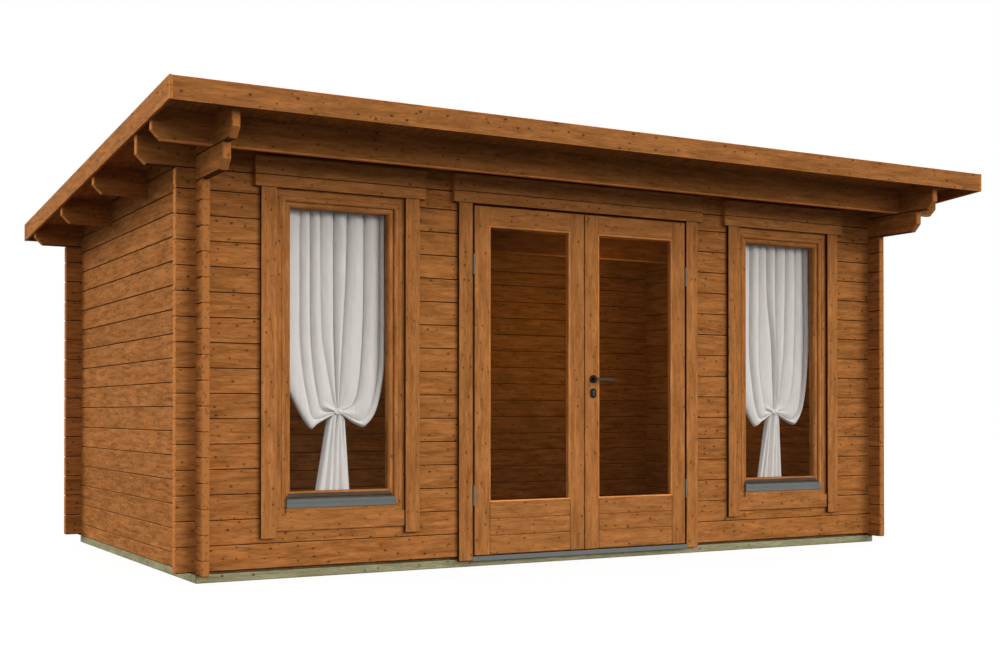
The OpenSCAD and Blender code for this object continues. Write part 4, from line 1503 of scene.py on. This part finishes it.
class CABIN_OT_curtains(bpy.types.Operator):
    """Hang the tied-up curtains"""

    bl_idname = "cabin.curtains"
    bl_label = "Curtains"

    def execute(self, context):
        settings = context.scene.log_cabin.curtains
        thickness, clear = 0.0015, 0.002
        for name, centre in zip(STRANDS, WINDOWS):
            node = f"{name}_curtain"
            start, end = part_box(node)
            place = (centre + KNOT_ASIDE, (start.y + end.y) / 2, start.z + KNOT_HEIGHT)
            columns = PANEL_COLUMNS * (len(STRANDS[name]) - 1)
            corners = gathered_cloth(name, place, end.z, settings.fold_depth)
            corners += tail_cloth(name, place, start.z, columns)
            corners = [(x, min(max(y, start.y + clear), end.y - clear), z) for x, y, z in corners]
            faces = joined(CLOTH_ROWS + TAIL_ROWS + 1, columns + 1, closed=False)
            shape = Shape()
            shape.add(corners, faces, [0] * len(faces))
            cloth = shape.piece(f"{name}_curtain_cloth", "curtain_cloth", ["cloth"], node,
                                smooth=True)
            thick = cloth.modifiers.new("Cloth thickness", "SOLIDIFY")
            thick.thickness = thickness
            thick.offset = 0.0

            faces = joined(KNOT_RINGS + 1, KNOT_TURNS)
            shape = Shape()
            shape.add(knot_cloth(place), faces, [0] * len(faces))
            knot = shape.piece(f"{name}_curtain_knot", "curtain_cloth", ["cloth"], smooth=True)
        return {"FINISHED"}


class CABIN_OT_stage(bpy.types.Operator):
    """Set up the floor, the light and the camera"""

    bl_idname = "cabin.stage"
    bl_label = "Floor, Light and Camera"

    def execute(self, context):
        scene = context.scene
        settings = scene.log_cabin.stage
        scene.view_settings.view_transform = "Standard"

        mesh = bpy.data.meshes.new("floor_plane")
        half = settings.floor_size / 2
        mesh.from_pydata(
            [(-half, -half, 0), (half, -half, 0), (half, half, 0), (-half, half, 0)],
            [], [(0, 1, 2, 3)],
        )
        pale = bpy.data.materials.new("pale_floor")
        pale.use_nodes = True
        made = Nodes(pale.node_tree)
        made.tree.nodes.remove(made.tree.nodes["Principled BSDF"])
        matt = made.node("BsdfDiffuse", {"Color": (0.12, 0.12, 0.12, 1)})
        lift = made.node("Emission", {"Strength": made.times(made.white_surround(), 0.90)})
        both = made.node("AddShader", {0: matt.outputs[0], 1: lift.outputs[0]})
        made.feed(made.tree.nodes["Material Output"].inputs["Surface"], both.outputs[0])
        mesh.materials.append(pale)
        floor = placed("floor_plane", mesh)

        # The sky's light: faint at the horizon, strongest half way up and less overhead
        world = bpy.data.worlds.new("soft_sky")
        world.use_nodes = True
        scene.world = world
        made = Nodes(world.node_tree)
        direction = made.node("TexCoord").outputs["Generated"]
        height = made.node("SeparateXYZ", {0: direction}).outputs["Z"]
        glow = made.times(made.span(height, 0.0, 0.22, 0.42, 1.0, smooth=True),
                          made.span(height, 0.45, 0.95, 1.55, 0.6, smooth=True))
        sky = made.tree.nodes["Background"].inputs
        made.feed(sky["Color"], (1, 1, 1, 1))
        made.feed(sky["Strength"], made.span(made.white_surround(), 0.0, 1.0, glow, 1.0))

        # Each soft sun's turn, height, spread and power
        for name, turn, height, spread, power in (
            ("front_light", 32.0, 19.0, 32.0, 1.6),
            ("left_light", -130.0, 25.0, 32.0, 1.65),
        ):
            lamp = bpy.data.lights.new(name, "SUN")
            lamp.angle = math.radians(spread)
            lamp.energy = power
            way = (math.radians(90 - height), 0.0, math.radians(turn))
            placed(name, lamp, turn=way).visible_glossy = False

        lamp = bpy.data.lights.new("indoor_light", "POINT")
        lamp.shadow_soft_size = 0.3
        lamp.energy = settings.indoor_power
        lamp.color = (1.0, 0.80, 0.24)
        aside, from_back, below_plate = 1.3, 1.1, 0.55
        lamp = placed("indoor_light", lamp, (aside, BACK - from_back, BACK_PLATE - below_plate))
        lamp.visible_camera = lamp.visible_glossy = False

        camera = bpy.data.cameras.new("camera")
        camera.lens = settings.lens
        camera.sensor_width = 36.0
        camera.shift_y = settings.rise
        camera.clip_start, camera.clip_end = 0.1, 200.0
        way = (math.pi / 2 + settings.camera_tilt, 0.0, -settings.camera_turn)
        scene.camera = placed("camera", camera, settings.camera_place, way)
        return {"FINISHED"}


STEPS = (
    CABIN_OT_stage, CABIN_OT_base, CABIN_OT_long_walls, CABIN_OT_side_walls,
    CABIN_OT_roof_timbers, CABIN_OT_roof_boards, CABIN_OT_fascias, CABIN_OT_trims,
    CABIN_OT_windows, CABIN_OT_door_frame, CABIN_OT_door_leaves, CABIN_OT_fittings,
    CABIN_OT_curtains,
)


class CABIN_PT_panel(bpy.types.Panel):
    """Lists the cabin's sizes, colours and steps"""

    bl_idname = "CABIN_PT_panel"
    bl_label = "Log Cabin"
    bl_space_type = "VIEW_3D"
    bl_region_type = "UI"
    bl_category = "Log Cabin"

    def draw(self, context):
        settings = context.scene.log_cabin
        for title, group in (
            ("Timber", settings.timber), ("Fittings", settings.fittings),
            ("Curtains", settings.curtains), ("Stage", settings.stage),
        ):
            box = self.layout.box()
            box.label(text=title)
            for name in group.__annotations__:
                box.prop(group, name)
        for step in STEPS:
            self.layout.operator(step.bl_idname)


CLASSES = (
    CabinTimber, CabinFittings, CabinCurtains, CabinStage, CabinSettings, *STEPS, CABIN_PT_panel,
)


def register():
    for item in CLASSES:
        bpy.utils.register_class(item)
    bpy.types.Scene.log_cabin = bpy.props.PointerProperty(type=CabinSettings)


def unregister():
    del bpy.types.Scene.log_cabin
    for item in reversed(CLASSES):
        bpy.utils.unregister_class(item)


def main():
    register()
    for step in STEPS:
        group, name = step.bl_idname.split(".")
        getattr(getattr(bpy.ops, group), name)()


if __name__ == "__main__":
    main()
